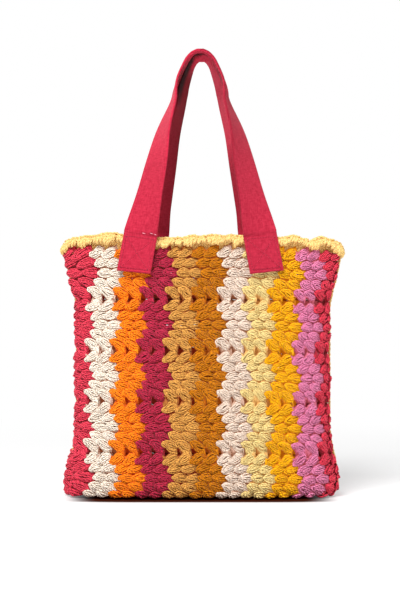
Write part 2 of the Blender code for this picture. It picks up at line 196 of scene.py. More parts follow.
# %% [markdown]
# The stripes hang straight down between the waist and the rim, and lean a little to one side near it.
# Only the outer ones take up what the wider foot and rim need, as cloth does that is sewn up at its
# sides. Sharing the extra width out over all the stripes would be simpler, but then the inner ones would
# fan out. Both seams lie just behind the sides.

# %% Hang the stripes
def hang_columns(points, girth):
    """How far round the line of every half column lies on each slice, on the front and on the back."""
    half_columns = np.arange(2 * COLUMNS + 1) / 2
    share = np.interp(half_columns, np.arange(COLUMNS + 1), COLUMN_EDGES)
    heights = points[:, 0, 2]
    fronts = points[:, : ROUND_STEPS // 2 + 1, 0]
    round_ = np.arange(ROUND_STEPS // 2 + 1) / ROUND_STEPS
    waist = int(np.argmin(np.abs(heights - sum(WAIST) / 2)))
    length = girth[waist] / 2 + 2 * SEAM_BACK - 2 * SEAM_MARGIN
    at_waist = SEAM_MARGIN - SEAM_BACK + share * length
    held = np.interp(at_waist, round_ * girth[waist], fronts[waist]) - BODY_SHIFT
    held = held * HANG_SQUEEZE + STRIPE_SHIFT
    first, last = (2 * c for c in HELD_COLUMNS)
    table = np.zeros((2, len(points), len(share)))
    for i, x in enumerate(fronts):
        lean = RIM_SHIFT * through(((RIM_SHIFT_FROM, 0.0), (WALL, 1.0)), heights[i])
        along = np.interp(held + lean * through(LEAN_LINE, half_columns), x, round_ * girth[i])
        for k, side in enumerate((1, -1)):
            start = SEAM_MARGIN - side * SEAM_BACK
            end = girth[i] / 2 + side * SEAM_BACK - SEAM_MARGIN
            left = start + (along[first] - start) * share / share[first]
            right = along[last] + (end - along[last]) * (share - share[last]) / (1 - share[last])
            kept = np.where(half_columns < HELD_COLUMNS[0], left, along)
            table[k, i] = side * np.where(half_columns > HELD_COLUMNS[1], right, kept)
    return table


print("columns that hang straight:", HELD_COLUMNS[0], "to", HELD_COLUMNS[1], "of", COLUMNS)

# %% [markdown]
# The slices are stacked into one grid of points with their outward directions. A place on the bag is then
# three numbers: how far down from the rim, how far round from the left end, and how far out. Everything
# that is crocheted is modelled flat in those numbers and wrapped on by reading the grid between its
# points.

# %% Wrap flat yarn on to the body
GRID_ABOVE_WALL = 36 * MM
GRID_DOWN_TO = 380 * MM
ROW_STEP = 3 * MM


def split(place):
    """The whole number of a place on the grid and what is left over."""
    whole = place.astype(int)
    return whole, place - whole


class Body:
    """The grid of the body's ground, read by distance down and distance round."""

    def __init__(self):
        self.down = np.arange(-GRID_ABOVE_WALL, GRID_DOWN_TO, ROW_STEP)
        turn = WALL - FLOOR_LAYER
        heights = np.where(self.down < turn, WALL - self.down, FLOOR_LAYER)
        insets = np.clip(self.down - turn, 0, None)
        slices = [even_slice(height, inset) for height, inset in zip(heights, insets)]
        self.points = np.array([points for points, girth in slices])
        self.girth = np.array([girth for points, girth in slices])
        self.column_at = hang_columns(self.points, self.girth)
        round_ = np.roll(self.points, -1, 1) - np.roll(self.points, 1, 1)
        out = np.cross(np.gradient(self.points, axis=0), round_)
        out = (out + np.roll(out, 1, 1) + np.roll(out, -1, 1)) / 3
        self.out = out / np.linalg.norm(out, axis=2, keepdims=True)

    def row(self, down):
        """The row of the grid at a distance down, and how far the place lies towards the next row."""
        return split(np.clip((down - self.down[0]) / ROW_STEP, 0, len(self.down) - 1.001))

    def girth_at(self, down):
        return np.interp(down, self.down, self.girth)

    def at(self, down, along, out):
        """World points for distances down from the rim, round from the left end and out."""
        row, below = self.row(down)
        place, beyond = split((along / self.girth_at(down) % 1.0) * ROUND_STEPS)
        place = place % ROUND_STEPS
        after = (place + 1) % ROUND_STEPS
        below = below[..., None]
        beyond = beyond[..., None]
        result = []
        for grid in (self.points, self.out):
            upper = grid[row, place] * (1 - beyond) + grid[row, after] * beyond
            lower = grid[row + 1, place] * (1 - beyond) + grid[row + 1, after] * beyond
            result.append(upper * (1 - below) + lower * below)
        return result[0] + result[1] * out[..., None]

    def column(self, down, column, front):
        """The distance round at which a column's line lies."""
        down, column, front = np.broadcast_arrays(down, column, front)
        row, below = self.row(down)
        place, beyond = split(np.clip(column * 2.0, 0, 2 * COLUMNS - 0.001))
        side = np.where(front, 0, 1)
        table = self.column_at
        upper = table[side, row, place] * (1 - beyond) + table[side, row, place + 1] * beyond
        lower = table[side, row + 1, place] * (1 - beyond) + table[side, row + 1, place + 1] * beyond
        return upper * (1 - below) + lower * below

    def seam(self, down, right):
        """The distance round at which a seam lies."""
        return self.girth_at(down) / 2 + SEAM_BACK if right else 0 * down - SEAM_BACK


body = Body()
print("girth at the rim:", round(float(body.girth_at(0.0)), 3), "m, grid:", body.points.shape)

# %% [markdown]
# ## Yarn
#
# A strand of yarn is a tube along a path. All the strands of one kind have the same number of points, so
# they are made together as arrays: rings of corners round each point, joined by four-sided faces. Every
# corner also keeps how far along its strand it lies and how far round it, because the twist of the plies
# has to follow the strand wherever it bends.

# %% Lay tubes along many paths at once
CM_PER_METRE = 100


def smooth_route(guides, steps):
    """Points of a smooth curve through the guides, with the ends kept."""
    padded = np.array([guides[0], *guides, guides[-1]])
    place = np.linspace(0, len(guides) - 1, steps + 1)
    index = np.minimum(place.astype(int), len(guides) - 2)
    t = (place - index)[:, None]
    a, b, c, d = (padded[index + k] for k in range(4))
    curve = 2 * b + (c - a) * t + (2 * a - 5 * b + 4 * c - d) * t**2 + (3 * b - a - 3 * c + d) * t**3
    return 0.5 * curve


def unit(vectors):
    return vectors / np.maximum(np.linalg.norm(vectors, axis=-1, keepdims=True), 1e-9)


def tubes(paths, radii, sides, keel=(0.0, 0.0, 1.0)):
    """Rings of corners for paths of shape (strand, point, 3), with their (along, round) coordinates."""
    tangent = unit(np.gradient(paths, axis=1))
    side = unit(np.cross(tangent, np.broadcast_to(np.array(keel), tangent.shape)))
    up = np.cross(side, tangent)
    angle = 2 * math.pi * np.arange(sides) / sides
    spoke = side[:, :, None] * np.cos(angle)[:, None] + up[:, :, None] * np.sin(angle)[:, None]
    rings = paths[:, :, None] + spoke * radii[..., None, None]
    step = np.linalg.norm(np.diff(paths, axis=1), axis=2)
    run = np.concatenate([np.zeros((len(paths), 1)), np.cumsum(step, axis=1)], 1)
    coordinates = np.zeros(rings.shape[:3] + (2,))
    coordinates[..., 0] = run[:, :, None]
    coordinates[..., 1] = np.arange(sides) / sides
    return rings, coordinates


def tube_faces(count, points, sides):
    """Faces of `count` tubes as corner numbers, and the same faces in steps along and round."""
    ring = np.arange(points - 1)[:, None] * sides
    j = np.arange(sides)
    k = (j + 1) % sides
    quads = np.stack([ring + j, ring + k, ring + k + sides, ring + j + sides], -1).reshape(-1, 4)
    wraps = np.stack([j * 0, k == 0, k == 0, j * 0], -1)
    wraps = np.broadcast_to(wraps, (points - 1, sides, 4)).reshape(-1, 4)
    first = np.arange(count)[:, None, None] * points * sides
    return (quads + first).reshape(-1, 4), np.tile(wraps, (count, 1))


def store(mesh, name, values):
    """Keeps two numbers for every corner of the quads as a layer of coordinates, and 0s for the caps."""
    filled = np.zeros((len(mesh.loops), 2), np.float32)
    filled[: len(values)] = values
    mesh.uv_layers.new(name=name).data.foreach_set("uv", filled.ravel())


class Skein:
    """Collects strands of one yarn and knits them into one mesh."""

    def __init__(self, name):
        self.name = name
        self.corners = []
        self.quads = []
        self.spread = []
        self.caps = []
        self.total = 0

    def add(self, world, coordinates):
        count, points, sides = world.shape[:3]
        quads, wraps = tube_faces(count, points, sides)
        flat = coordinates.reshape(-1, 2)[quads]
        flat[..., 1] += wraps
        self.corners.append(world.reshape(-1, 3))
        self.quads.append(quads + self.total)
        self.spread.append(flat.reshape(-1, 2))
        for ends in (np.arange(sides)[::-1], np.arange(sides) + (points - 1) * sides):
            self.caps += (np.arange(count)[:, None] * points * sides + ends + self.total).tolist()
        self.total += count * points * sides

    def build(self, material):
        corners = np.concatenate(self.corners)
        quads = np.concatenate(self.quads)
        spread = np.concatenate(self.spread)
        mesh = bpy.data.meshes.new(self.name)
        mesh.from_pydata(corners.tolist(), [], quads.tolist() + self.caps)
        store(mesh, "strand", spread * (CM_PER_METRE, 1))
        mesh.shade_smooth()
        mesh.materials.append(material)
        made = into_scene(self.name, mesh)
        triangles = 2 * len(quads) + sum(len(cap) - 2 for cap in self.caps)
        print(self.name, "triangles:", triangles)
        return made


print("faces round a strand of 18 rings with 5 sides:", len(tube_faces(1, 18, 5)[0]))

# %% [markdown]
# ## Shader arithmetic
#
# A material reads better as sums than as a web of nodes. `Flow` wraps one output of a node, and adding or
# multiplying it adds the Math node that does so. `Graph.node` makes any other node from its type, its
# settings and the values or flows of its inputs.

# %% Make a small language for shaders
class Flow:
    """One output of a node, which can be added, multiplied and raised to a power."""

    def __init__(self, graph, socket):
        self.graph = graph
        self.socket = socket

    def math(self, operation, *others):
        values = dict(enumerate((self, *others)))
        return self.graph.node("ShaderNodeMath", {"operation": operation}, values)

    def __add__(self, other):
        return self.math("ADD", other)

    def __mul__(self, other):
        return self.math("MULTIPLY", other)

    def __sub__(self, other):
        return self.math("SUBTRACT", other)

    def __rsub__(self, other):
        return (self * -1) + other

    def __pow__(self, other):
        return self.math("POWER", other)

    __radd__ = __add__
    __rmul__ = __mul__


COTTON_GLOSS = 0.12
SHEEN_ROUGHNESS = 0.45


class Graph:
    """A material with its nodes."""

    def __init__(self, name):
        self.material = bpy.data.materials.new(name)
        self.material.use_nodes = True
        self.tree = self.material.node_tree
        self.shader = self.tree.nodes["Principled BSDF"]

    def node(self, kind, settings=None, values=None, out=0):
        made = self.tree.nodes.new(kind)
        for key, value in (settings or {}).items():
            setattr(made, key, value)
        for key, value in (values or {}).items():
            if isinstance(value, Flow):
                self.tree.links.new(value.socket, made.inputs[key])
            else:
                made.inputs[key].default_value = value
        return Flow(self, made.outputs[out])

    def mix(self, share, first, second):
        values = {0: share, 6: first, 7: second}
        return self.node("ShaderNodeMix", {"data_type": "RGBA"}, values, out=2)

    def part(self, vector, number):
        """One of the three numbers of a vector."""
        return self.node("ShaderNodeSeparateXYZ", {}, {0: vector}, number)

    def noise(self, place, scale, detail=2.0):
        return self.node("ShaderNodeTexNoise", {}, {"Vector": place, "Scale": scale, "Detail": detail})

    def feed(self, name, flow):
        """Lets a flow drive one input of the shader."""
        self.tree.links.new(flow.socket, self.shader.inputs[name])

    def even(self, name, value):
        """Sets one input of the shader to a value that is the same everywhere."""
        self.shader.inputs[name].default_value = value

    def glow(self, colour):
        self.even("Emission Strength", 1.0)
        self.feed("Emission Color", colour)

    def finish(self, colour, roughness, height, depth, strength, sheen):
        bump = self.node("ShaderNodeBump", {}, {"Height": height, "Strength": strength, "Distance": depth})
        self.feed("Base Color", colour)
        self.feed("Normal", bump)
        self.even("Roughness", roughness)
        self.even("Specular IOR Level", COTTON_GLOSS)
        self.even("Sheen Weight", sheen)
        self.even("Sheen Roughness", SHEEN_ROUGHNESS)
        return self.material


def linear(red, green, blue):
    """A colour as a painter's 0 to 255 numbers, turned into the light that a shader wants."""
    return tuple(((c / 255 + 0.055) / 1.055) ** 2.4 for c in (red, green, blue)) + (1.0,)


print("a middle grey of 128 is", round(linear(128, 128, 128)[0], 3), "as light")


# %% [markdown]
# ## Cotton yarn
#
# Soft cotton yarn is several plies twisted together, with loose fibres over them. The twist is a slanting
# stripe in the strand's own coordinates: one wave round for each ply, and a few waves for each centimetre
# along. It paints shade into the grooves between the plies and, as bump, lifts the plies, and noise in
# space breaks it up so that no two strands look the same. The flanks of a strand are painted darker than
# its crest, as the shade where neighbours press close. Sheen gives the pale bloom that loose fibres have
# at the edges.
#
# Light also soaks through a crocheted wall. It is painted: the strands inside the bag are painted darker,
# as shade, and given a faint glow in the tone of their inside, and the outside glows with a little of
# that as painted light. Such strands are marked by a metre added to their length.

# %% Mix the yarn
PLIES = 3
TWISTS_PER_CM = 0.75
WANDER_SCALE = 160.0
FIBRE_SCALE = 1500.0
PATCH_SCALE = 320.0
PLY_DEPTH = 0.8 * MM
INSIDE_MARK = 1.0
INSIDE_SHADE = 0.6


def yarn(name, tone, deep, inner=(0, 0, 0), fluff=0.0, glow=(0, 0, 0)):
    """Yarn of one tone, with painted shade in its grooves and flanks. Fluff from 0 to 1 hides the plies
    under loose fibres.
    """
    graph = Graph(name)
    strand = graph.node("ShaderNodeUVMap", {"uv_map": "strand"})
    along = graph.part(strand, 0)
    around = graph.part(strand, 1)
    place = graph.node("ShaderNodeTexCoord", {}, {}, 3)
    wander = graph.noise(place, WANDER_SCALE)
    turns = around * PLIES + along * (PLIES * TWISTS_PER_CM) + wander * 0.7
    ply = (turns * (2 * math.pi)).math("SINE") * 0.5 + 0.5
    fibre = graph.noise(place, FIBRE_SCALE, 4.0)
    patch = graph.noise(place, PATCH_SCALE, 3.0)
    # Painted shade on the flanks of each strand, none on its crest
    crest_and_flank_shade = (around * (2 * math.pi)).math("SINE").math("MAXIMUM", -0.2)
    share = (ply - 0.5) * (0.5 + 0.05 * fluff) + (fibre - 0.5) * (0.3 + 0.5 * fluff)
    share = share + (patch - 0.5) * (0.6 + 0.5 * fluff) + (crest_and_flank_shade - 0.75) * (0.6 * (1 - fluff)) + 0.76
    share = share.math("MAXIMUM", 0.0).math("MINIMUM", 1.0)
    # The deeper tone gives random mottling and the painted shade of grooves and flanks
    colour = graph.mix(share, linear(*deep), linear(*tone))
    # Strands inside the bag: painted shade in their colour and a painted glow
    inside = along.math("GREATER_THAN", 0.8 * INSIDE_MARK * CM_PER_METRE)
    colour = graph.mix(inside * INSIDE_SHADE, colour, linear(*inner))
    graph.glow(graph.mix(inside, linear(*glow), linear(*inner)))
    height = ply * 0.9 + fibre * 0.1
    return graph.finish(colour, 0.92, height, PLY_DEPTH, 0.9, sheen=0.06)


# The outside has a painted glow in the tone of the light inside too, with the tone's numbers times this
SOAKED = 0.33
# Each stripe: its tone, its deeper tone for mottling and for painted shade in the grooves, and the tone of
# its inside
STRIPES = (
    ("red_left", (230, 66, 88), (160, 20, 44), (70, 12, 12)),
    ("ivory", (244, 234, 220), (208, 184, 154), (110, 60, 38)),
    ("orange", (255, 142, 18), (218, 80, 8), (122, 34, 8)),
    ("magenta", (192, 42, 74), (112, 14, 34), (80, 22, 12)),
    ("tan", (224, 164, 80), (156, 94, 30), (88, 20, 8)),
    ("mustard", (208, 126, 4), (118, 56, 2), (122, 56, 10)),
    ("cream", (238, 220, 204), (194, 162, 134), (110, 64, 40)),
    ("lemon", (240, 218, 148), (198, 156, 78), (146, 96, 46)),
    ("yellow", (246, 182, 4), (192, 108, 2), (150, 84, 10)),
    ("pink", (228, 134, 174), (164, 62, 100), (132, 58, 62)),
    ("red_right", (230, 62, 84), (158, 22, 48), (62, 12, 12)),
)
# The same for the edging, then how fluffy it is and the painted glow of light soaked into its outside
EDGING = ((222, 197, 130), (216, 156, 76), (112, 64, 24), 1.0, (102, 72, 36))
print("yarn colours:", len(STRIPES) + 1)

# %% [markdown]
# ## One puff
#
# A puff is a bundle of loops drawn up together. Its left end is fat, because the loops turn round there,
# and its right end is pulled tight into the next column. Three nested loops give the rounded left end
# with its little slot, two thick core strands keep light from leaking between them, and two more strands
# lie flat inside the bag. One drawing serves all three loops: it gives shares of the length and of the
# half width.

# %% Draw the loops of a puff
PUFF_LENGTH = 23.5 * MM
PUFF_TUCK = 5.5 * MM
# Half a loop, from its tip to its drawn-in end: share of the length, share of the half width
LOOP_HALF = (
    (0.0, 0.0),
    (0.03, 0.25),
    (0.11, 0.53),
    (0.24, 0.84),
    (0.42, 1.04),
    (0.60, 1.0),
    (0.80, 0.74),
    (1.0, 0.34),
)
LOOPS = (
    {"tip": 0.0, "half_width": 5.9 * MM, "height": 1.5 * MM, "radius": 1.3 * MM},
    {"tip": 0.08, "half_width": 3.6 * MM, "height": 3.0 * MM, "radius": 1.12 * MM},
    {"tip": 0.19, "half_width": 1.3 * MM, "height": 3.6 * MM, "radius": 1.08 * MM},
)
CORE = {"aside": 2.3 * MM, "height": -0.2 * MM, "radius": 2.4 * MM, "ends": (0.09, 0.95)}
INNER = {"aside": 4.9 * MM, "height": -2.4 * MM, "radius": 3.3 * MM, "ends": (0.12, 0.99)}
YARN_SIDES = 5
CORE_SIDES = 4
LOOP_POINTS = 18
CORE_POINTS = 6
LEAN_HEIGHT = 5.6 * MM
LEAN_TURNS_AT = 0.45


def swell(share):
    """How full the bundle is along its length: fat near the left, drawn in at the right."""
    return through(((0.0, 0.72), (0.25, 1.0), (0.6, 0.95), (1.0, 0.5)), share)


def lean(share):
    """The left end lies on top of the next puff's tight right end."""
    return (LEAN_TURNS_AT - share) * LEAN_HEIGHT


def loop_path(loop):
    half = np.array(LOOP_HALF)
    share = loop["tip"] + (1 - loop["tip"]) * half[:, 0]
    x = (share - 0.5) * PUFF_LENGTH
    y = half[:, 1] * loop["half_width"]
    h = loop["height"] * swell(share) + lean(share)
    upper = np.stack([x, y, h], 1)
    lower = np.stack([x, -y, h], 1)
    path = np.concatenate([upper[::-1], lower[1:]])
    return smooth_route(path, LOOP_POINTS - 1)


def straight_strands(kind, inside):
    """A pair of straight strands. A core strand swells with the puff, and one inside the bag doesn't."""
    share = np.linspace(*kind["ends"], CORE_POINTS)
    full = np.ones(CORE_POINTS) if inside else swell(share)
    pair = []
    for aside in (-kind["aside"], kind["aside"]):
        path = np.stack([(share - 0.5) * PUFF_LENGTH, aside * full, kind["height"] + lean(share) * 0.6], 1)
        pair.append((path, kind["radius"] * full, CORE_SIDES, inside))
    return pair


def puff_strands():
    """Every strand of a puff as (path, radii, sides, whether it lies inside the bag)."""
    strands = []
    for loop in LOOPS:
        path = loop_path(loop)
        strands.append((path, np.full(len(path), loop["radius"]), YARN_SIDES, False))
    return strands + straight_strands(CORE, False) + straight_strands(INNER, True)


PUFF = puff_strands()
print("strands in a puff:", len(PUFF))

# %% [markdown]
# ## The ripple
#
# Five puffs make one ripple. Going down from a turn, the puffs lie uphill, less so, level, and then
# downhill, so at the turn their left ends part round a diamond gap and half way down they fan out. The
# whole column sways sideways with the same wave. The table is what was read off the stitches.
#
# An even wave would be simpler, but a hand-made ripple isn't even: the turns are listed where they hang
# on the front, and the rows between them are spread to fit. The back, which isn't seen, keeps an even
# ripple half a wave on, so that few gaps in the front lie over one in the back.

# %% Lay out the ripple
RIPPLE = 70.4 * MM
SWAY = 6.0 * MM
PUFFS = (
    {"down": 8.6 * MM, "tilt": 28.0, "aside": -2.0 * MM, "broad": 1.05},
    {"down": 22.2 * MM, "tilt": 18.0, "aside": -0.4 * MM, "broad": 0.96},
    {"down": 36.0 * MM, "tilt": -4.0, "aside": 2.3 * MM, "broad": 1.0},
    {"down": 49.8 * MM, "tilt": -25.0, "aside": 0.8 * MM, "broad": 1.01},
    {"down": 62.4 * MM, "tilt": -32.0, "aside": -1.7 * MM, "broad": 1.08},
)
# Where the turns of the ripple really hang on the front, and how much lower they hang towards the right
TURNS = (-5.0 * MM, 70.4 * MM, 142.9 * MM, 213.7 * MM, 284.7 * MM, 355.8 * MM)
DROP_LINE = ((0, 0.0), (14, 0.0), (18, 3.6), (22, 4.2))
HOLE_ASIDE = 2.6 * MM
HOLE_HALF_WIDTH = 5.8 * MM
HOLE_HALF_HEIGHT = 5.8 * MM
HOLE_REACH = 15 * MM
PERIODS = 5
BASE_ROW = 14.5 * MM
BASE_TILT = 0.7
BACK_PHASE = RIPPLE / 2


def sway(down, column):
    fade = np.clip(np.minimum(column + 0.5, COLUMNS - 0.5 - column), 0, 1)
    return -SWAY * fade * np.cos(2 * math.pi * down / RIPPLE)


def hung(down, column, front):
    """Where a row really hangs, by the turns read off the front. The back keeps an even ripple."""
    lower = np.interp(down, RIPPLE * np.arange(len(TURNS)), TURNS) + through(DROP_LINE, column) * MM
    return np.where(front, lower, down)


print("turns of the ripple down the front, mm:", [round(turn / MM) for turn in TURNS])

# %% [markdown]
# No two puffs of handwork are alike. Each gets its own small error in tilt, size, place and height, and
# its loops roll a little to one side. All draws come from one seeded generator, so the bag is the same
# each time.
#
# A puff is drawn flat, turned by its tilt and moved into its column. The numbers of all puffs are kept as
# arrays, and one sum then places every corner of every puff at once, which takes a second instead of
# minutes.

# %% Turn the puffs and move them into their columns
TILT_SPREAD = 2.2
SIZE_SPREAD = 0.035
ASIDE_SPREAD = 0.5 * MM
DOWN_SPREAD = 0.4 * MM
LIFT_SPREAD = 0.35 * MM
ROLL = 9
ROLL_SPREAD = 8
ALL_ASIDE = 0.8 * MM


def vary(paths, amount):
    """Moves the points of each strand a little, smoothly along it."""
    count, points, _ = paths.shape
    place = np.linspace(0, 2 * math.pi, points)
    shift = np.zeros_like(paths)
    for wave in (0.5, 1.5, 4.0):
        phase = rng.uniform(0, 2 * math.pi, (count, 1, 3))
        size = rng.normal(0, amount, (count, 1, 3))
        shift += size * np.sin(place[None, :, None] * wave + phase)
    return paths + shift


class Puffs:
    """Puffs laid on the panel, as arrays: where the middle of each lies and how it is turned."""

    def __init__(self, rows):
        column, counted, tilt, shift, front, broad = zip(*rows)
        count = len(rows)
        self.column = np.array(column, float)
        self.counted = np.array(counted)
        self.front = np.array(front, bool)
        self.down = self.counted
        self.tilt = np.radians(np.array(tilt) + rng.normal(0, TILT_SPREAD, count))
        self.size = rng.normal(1.0, SIZE_SPREAD, count) * np.array(broad)
        level = self.level()
        edges = [body.column(level, self.column + k, self.front) for k in (0, 1)]
        self.wide = np.abs(edges[1] - edges[0])
        self.stretch = (self.wide + PUFF_TUCK) / PUFF_LENGTH
        self.shift = np.array(shift) + rng.normal(0, ASIDE_SPREAD, count) + ALL_ASIDE
        self.down = self.down + rng.normal(0, DOWN_SPREAD, count)
        self.lift = rng.normal(0, LIFT_SPREAD, count)
        self.twist = np.radians(rng.normal(ROLL, ROLL_SPREAD, count))

    def panel(self, local, slope=1.0):
        """Corners in a puff's own frame, turned and moved to (down, sideways, out) of its column."""
        shape = (-1,) + (1,) * (local.ndim - 2)
        cos = np.cos(self.tilt * slope).reshape(shape)
        sin = np.sin(self.tilt * slope).reshape(shape)
        size = self.size.reshape(shape)
        x = local[..., 0] * self.stretch.reshape(shape)
        turn = self.twist.reshape(shape) * local[..., 0] / (PUFF_LENGTH / 2)
        y = local[..., 1] * size * np.cos(turn) + local[..., 2] * np.sin(turn)
        out = local[..., 2] * np.cos(turn) - local[..., 1] * size * np.sin(turn)
        across = x * cos - y * sin + self.shift.reshape(shape)
        upward = x * sin + y * cos
        return upward, across, out + self.lift.reshape(shape)


print("puffs differ by about", TILT_SPREAD, "degrees and", round(100 * SIZE_SPREAD, 1), "% in size")

# %% [markdown]
# The diamond gaps lie where the ripple turns, at the two lines of every column. The yarn there is parted:
# the nearer a point lies to a gap's middle, the further it is pushed up or down from the turn. Cutting
# holes into a finished wall would leave cut strands, and pushed ones stay whole.

# %% Part the yarn round the gaps
class WallPuffs(Puffs):
    """Puffs on the front and back walls."""

    def level(self):
        self.down = hung(self.counted, self.column, self.front)
        return self.down

    def part(self, down, across):
        """Parts the yarn round the diamond gaps on either side of the turn that is nearest."""
        shape = (-1,) + (1,) * (down.ndim - 1)
        phase = np.where(self.front, 0.0, BACK_PHASE)
        turn = np.round((self.counted + phase) / RIPPLE) * RIPPLE - phase
        turn = hung(turn, self.column, self.front).reshape(shape)
        away = down - turn
        half = (self.wide / 2).reshape(shape)
        for line in (0, 1):
            inner = (self.column + line > 0) & (self.column + line < COLUMNS)
            middle = half * (2 * line - 1) - SWAY + HOLE_ASIDE
            near = np.clip(1 - np.abs(across - middle) / HOLE_HALF_WIDTH, 0, 1) * inner.reshape(shape)
            opened = HOLE_HALF_HEIGHT * near
            pushed = opened + np.abs(away) * (1 - opened / HOLE_REACH)
            side = np.where(away < 0, -1.0, 1.0)
            away = np.where(np.abs(away) < HOLE_REACH, side * pushed, away)
        return turn + away

    def place(self, local, slope=1.0):
        shape = (-1,) + (1,) * (local.ndim - 2)
        upward, across, out = self.panel(local, slope)
        down = self.part(self.down.reshape(shape) - upward, across)
        column = (self.column + 0.5).reshape(shape)
        front = np.broadcast_to(self.front.reshape(shape), down.shape)
        along = body.column(down, column, front) + np.where(front, across, -across)
        return body.at(down, along, out)


gap = [round(2 * half / MM, 1) for half in (HOLE_HALF_WIDTH, HOLE_HALF_HEIGHT)]
print("a gap opens", gap[0], "mm wide and", gap[1], "mm high")

# %% [markdown]
# Under the bag the same stitch runs on from the front wall to the back one, and lies flat on the floor.
# Its puffs face down, so their height counts downwards.

# %% Turn the puffs of the base
class BasePuffs(Puffs):
    """Puffs under the bag, between the feet of the front and the back wall."""

    def level(self):
        return np.full(len(self.column), WALL)

    def place(self, local, slope=1.0):
        shape = (-1,) + (1,) * (local.ndim - 2)
        upward, across, out = self.panel(local, slope)
        foot = np.full(len(self.column), WALL)
        ends = []
        for front in (True, False):
            side = np.full(len(foot), front)
            ends.append(body.at(foot, body.column(foot, self.column + 0.5, side), foot * 0))
        share = self.down[:, None]
        middle = ends[0] * (1 - share) + ends[1] * share
        ahead = unit(ends[0] - ends[1])
        right = np.cross(ahead, np.array([0.0, 0.0, -1.0]))
        wide = (len(middle),) + (1,) * (local.ndim - 2) + (3,)
        world = middle.reshape(wide) + right.reshape(wide) * across[..., None]
        world = world + ahead.reshape(wide) * upward[..., None]
        world[..., 2] -= out
        return world


# %% [markdown]
# Each stripe is two columns wide and has one yarn, so it is one piece. Its puffs are counted ripple by
# ripple down the front and down the back, and then across the base.

# %% Crochet the stripes
LOOSENESS = 0.32 * MM
THICKNESS_SPREAD = 0.05
TWIST_START = 50 * MM
FLOOR_CLEARANCE = 0.3 * MM
INNER_SLOPE = 0.45


def wall_rows(columns):
    """Every puff on the walls: column, distance down, tilt, shift aside, whether in front, breadth."""
    rows = []
    for column in columns:
        for front in (True, False):
            phase = 0.0 if front else BACK_PHASE
            for period in range(PERIODS + 1):
                for puff in PUFFS:
                    counted = period * RIPPLE + puff["down"]
                    if phase < counted < phase + WALL:
                        aside = float(sway(counted, column)) + puff["aside"]
                        rows.append((column, counted - phase, puff["tilt"], aside, front, puff["broad"]))
    return rows


def base_rows(columns):
    """Every puff under the bag: the same numbers, with its share of the way from front to back."""
    foot = np.array([WALL])
    rows = []
    for column in columns:
        middle = np.array([column + 0.5])
        ends = []
        for front in (True, False):
            ends.append(body.at(foot, body.column(foot, middle, np.array([front])), 0 * foot))
        length = float(np.linalg.norm(ends[0] - ends[1]))
        count = round(length / BASE_ROW)
        for k in range(count):
            share = (k + 0.5) / count
            puff = PUFFS[int(share * len(PUFFS))]
            aside = float(sway(share * RIPPLE, column))
            rows.append((column, share, puff["tilt"] * BASE_TILT, aside, True, 1.0))
    return rows


def crochet(skein, puffs):
    """Adds every strand of every puff. Those inside the bag slope less than the loops that they hold."""
    count = len(puffs.column)
    for path, radii, sides, inside in PUFF:
        paths = vary(np.repeat(path[None], count, 0), LOOSENESS)
        width = radii * rng.normal(1.0, THICKNESS_SPREAD, (count, 1))
        local, coordinates = tubes(paths, width, sides)
        world = puffs.place(local, INNER_SLOPE if inside else 1.0)
        world[..., 2] = np.maximum(world[..., 2], FLOOR_CLEARANCE)
        coordinates[..., 0] += rng.uniform(0, TWIST_START, (count, 1, 1)) + (INSIDE_MARK if inside else 0)
        skein.add(world, coordinates)


for number, (name, tone, deep, inner) in enumerate(STRIPES):
    skein = Skein("crochet_" + name)
    columns = (2 * number, 2 * number + 1)
    crochet(skein, WallPuffs(wall_rows(columns)))
    crochet(skein, BasePuffs(base_rows(columns)))
    soaked = tuple(SOAKED * c for c in inner)
    piece = skein.build(yarn("yarn_" + name, tone, deep, inner, glow=soaked))
    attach(piece, "root")
    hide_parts("stripe_" + name)

# %% [markdown]
# ## The edging
#
# The edging is worked round the mouth in the pale yellow yarn, over the zigzag top of the panel: the
# posts are long where they fill a valley and short over a peak, so the lower edge is scalloped. Its upper
# edge isn't straight either. Both lines are tables read off the front. The back, which isn't seen, has
# posts that reach a fixed way down over the panel.

# %% Draw the stitches of the edging and its lines
EDGING_STITCHES = 150
POST_RADIUS = 2.0 * MM
CHAIN_RADIUS = 1.6 * MM
# One link of the chain, round from one end to the other: along it, to the side and outwards, in mm
CHAIN = (
    (4.4, -1.5, 0.0),
    (2.6, -2.7, 0.7),
    (0.2, -2.7, 1.0),
    (-2.0, -1.6, 0.5),
    (-2.9, 0.0, 0.0),
    (-2.0, 1.6, 0.5),
    (0.2, 2.7, 1.0),
    (2.6, 2.7, 0.7),
    (4.4, 1.5, 0.0),
)
# Points of a post: how far down from its top as a share of its length, and how far out in mm. The last
# two lie inside the bag, at the heights of INNER_FOOT
POST = (
    (1.0, 2.6),
    (0.86, 4.6),
    (0.62, 5.8),
    (0.40, 5.2),
    (0.22, 3.0),
    (0.04, 1.8),
    (0.0, -0.8),
    (0.20, -4.0),
    (0.0, -4.8),
    (0.0, -4.4),
)
INNER_FOOT = (2.0 * MM, -7.0 * MM)
# The edging from the left side of the bag to the right: how high it stands above the wall, in mm
RIM_LINE = (
    (-1.0, 9.0),
    (-0.97, 14.5),
    (-0.93, 17.0),
    (-0.84, 19.3),
    (-0.77, 20.0),
    (-0.70, 23.3),
    (-0.655, 23.7),
    (-0.615, 22.5),
    (-0.575, 19.7),
    (-0.45, 18.0),
    (-0.30, 16.2),
    (-0.14, 16.3),
    (-0.08, 20.4),
    (-0.02, 17.7),
    (0.037, 20.4),
    (0.095, 20.4),
    (0.157, 19.0),
    (0.215, 20.7),
    (0.27, 19.0),
    (0.54, 17.0),
    (0.57, 16.8),
    (0.655, 19.2),
    (0.74, 15.0),
    (0.77, 12.2),
    (0.80, 13.6),
    (0.86, 17.8),
    (0.92, 15.0),
    (0.975, 11.0),
    (1.0, 9.0),
)
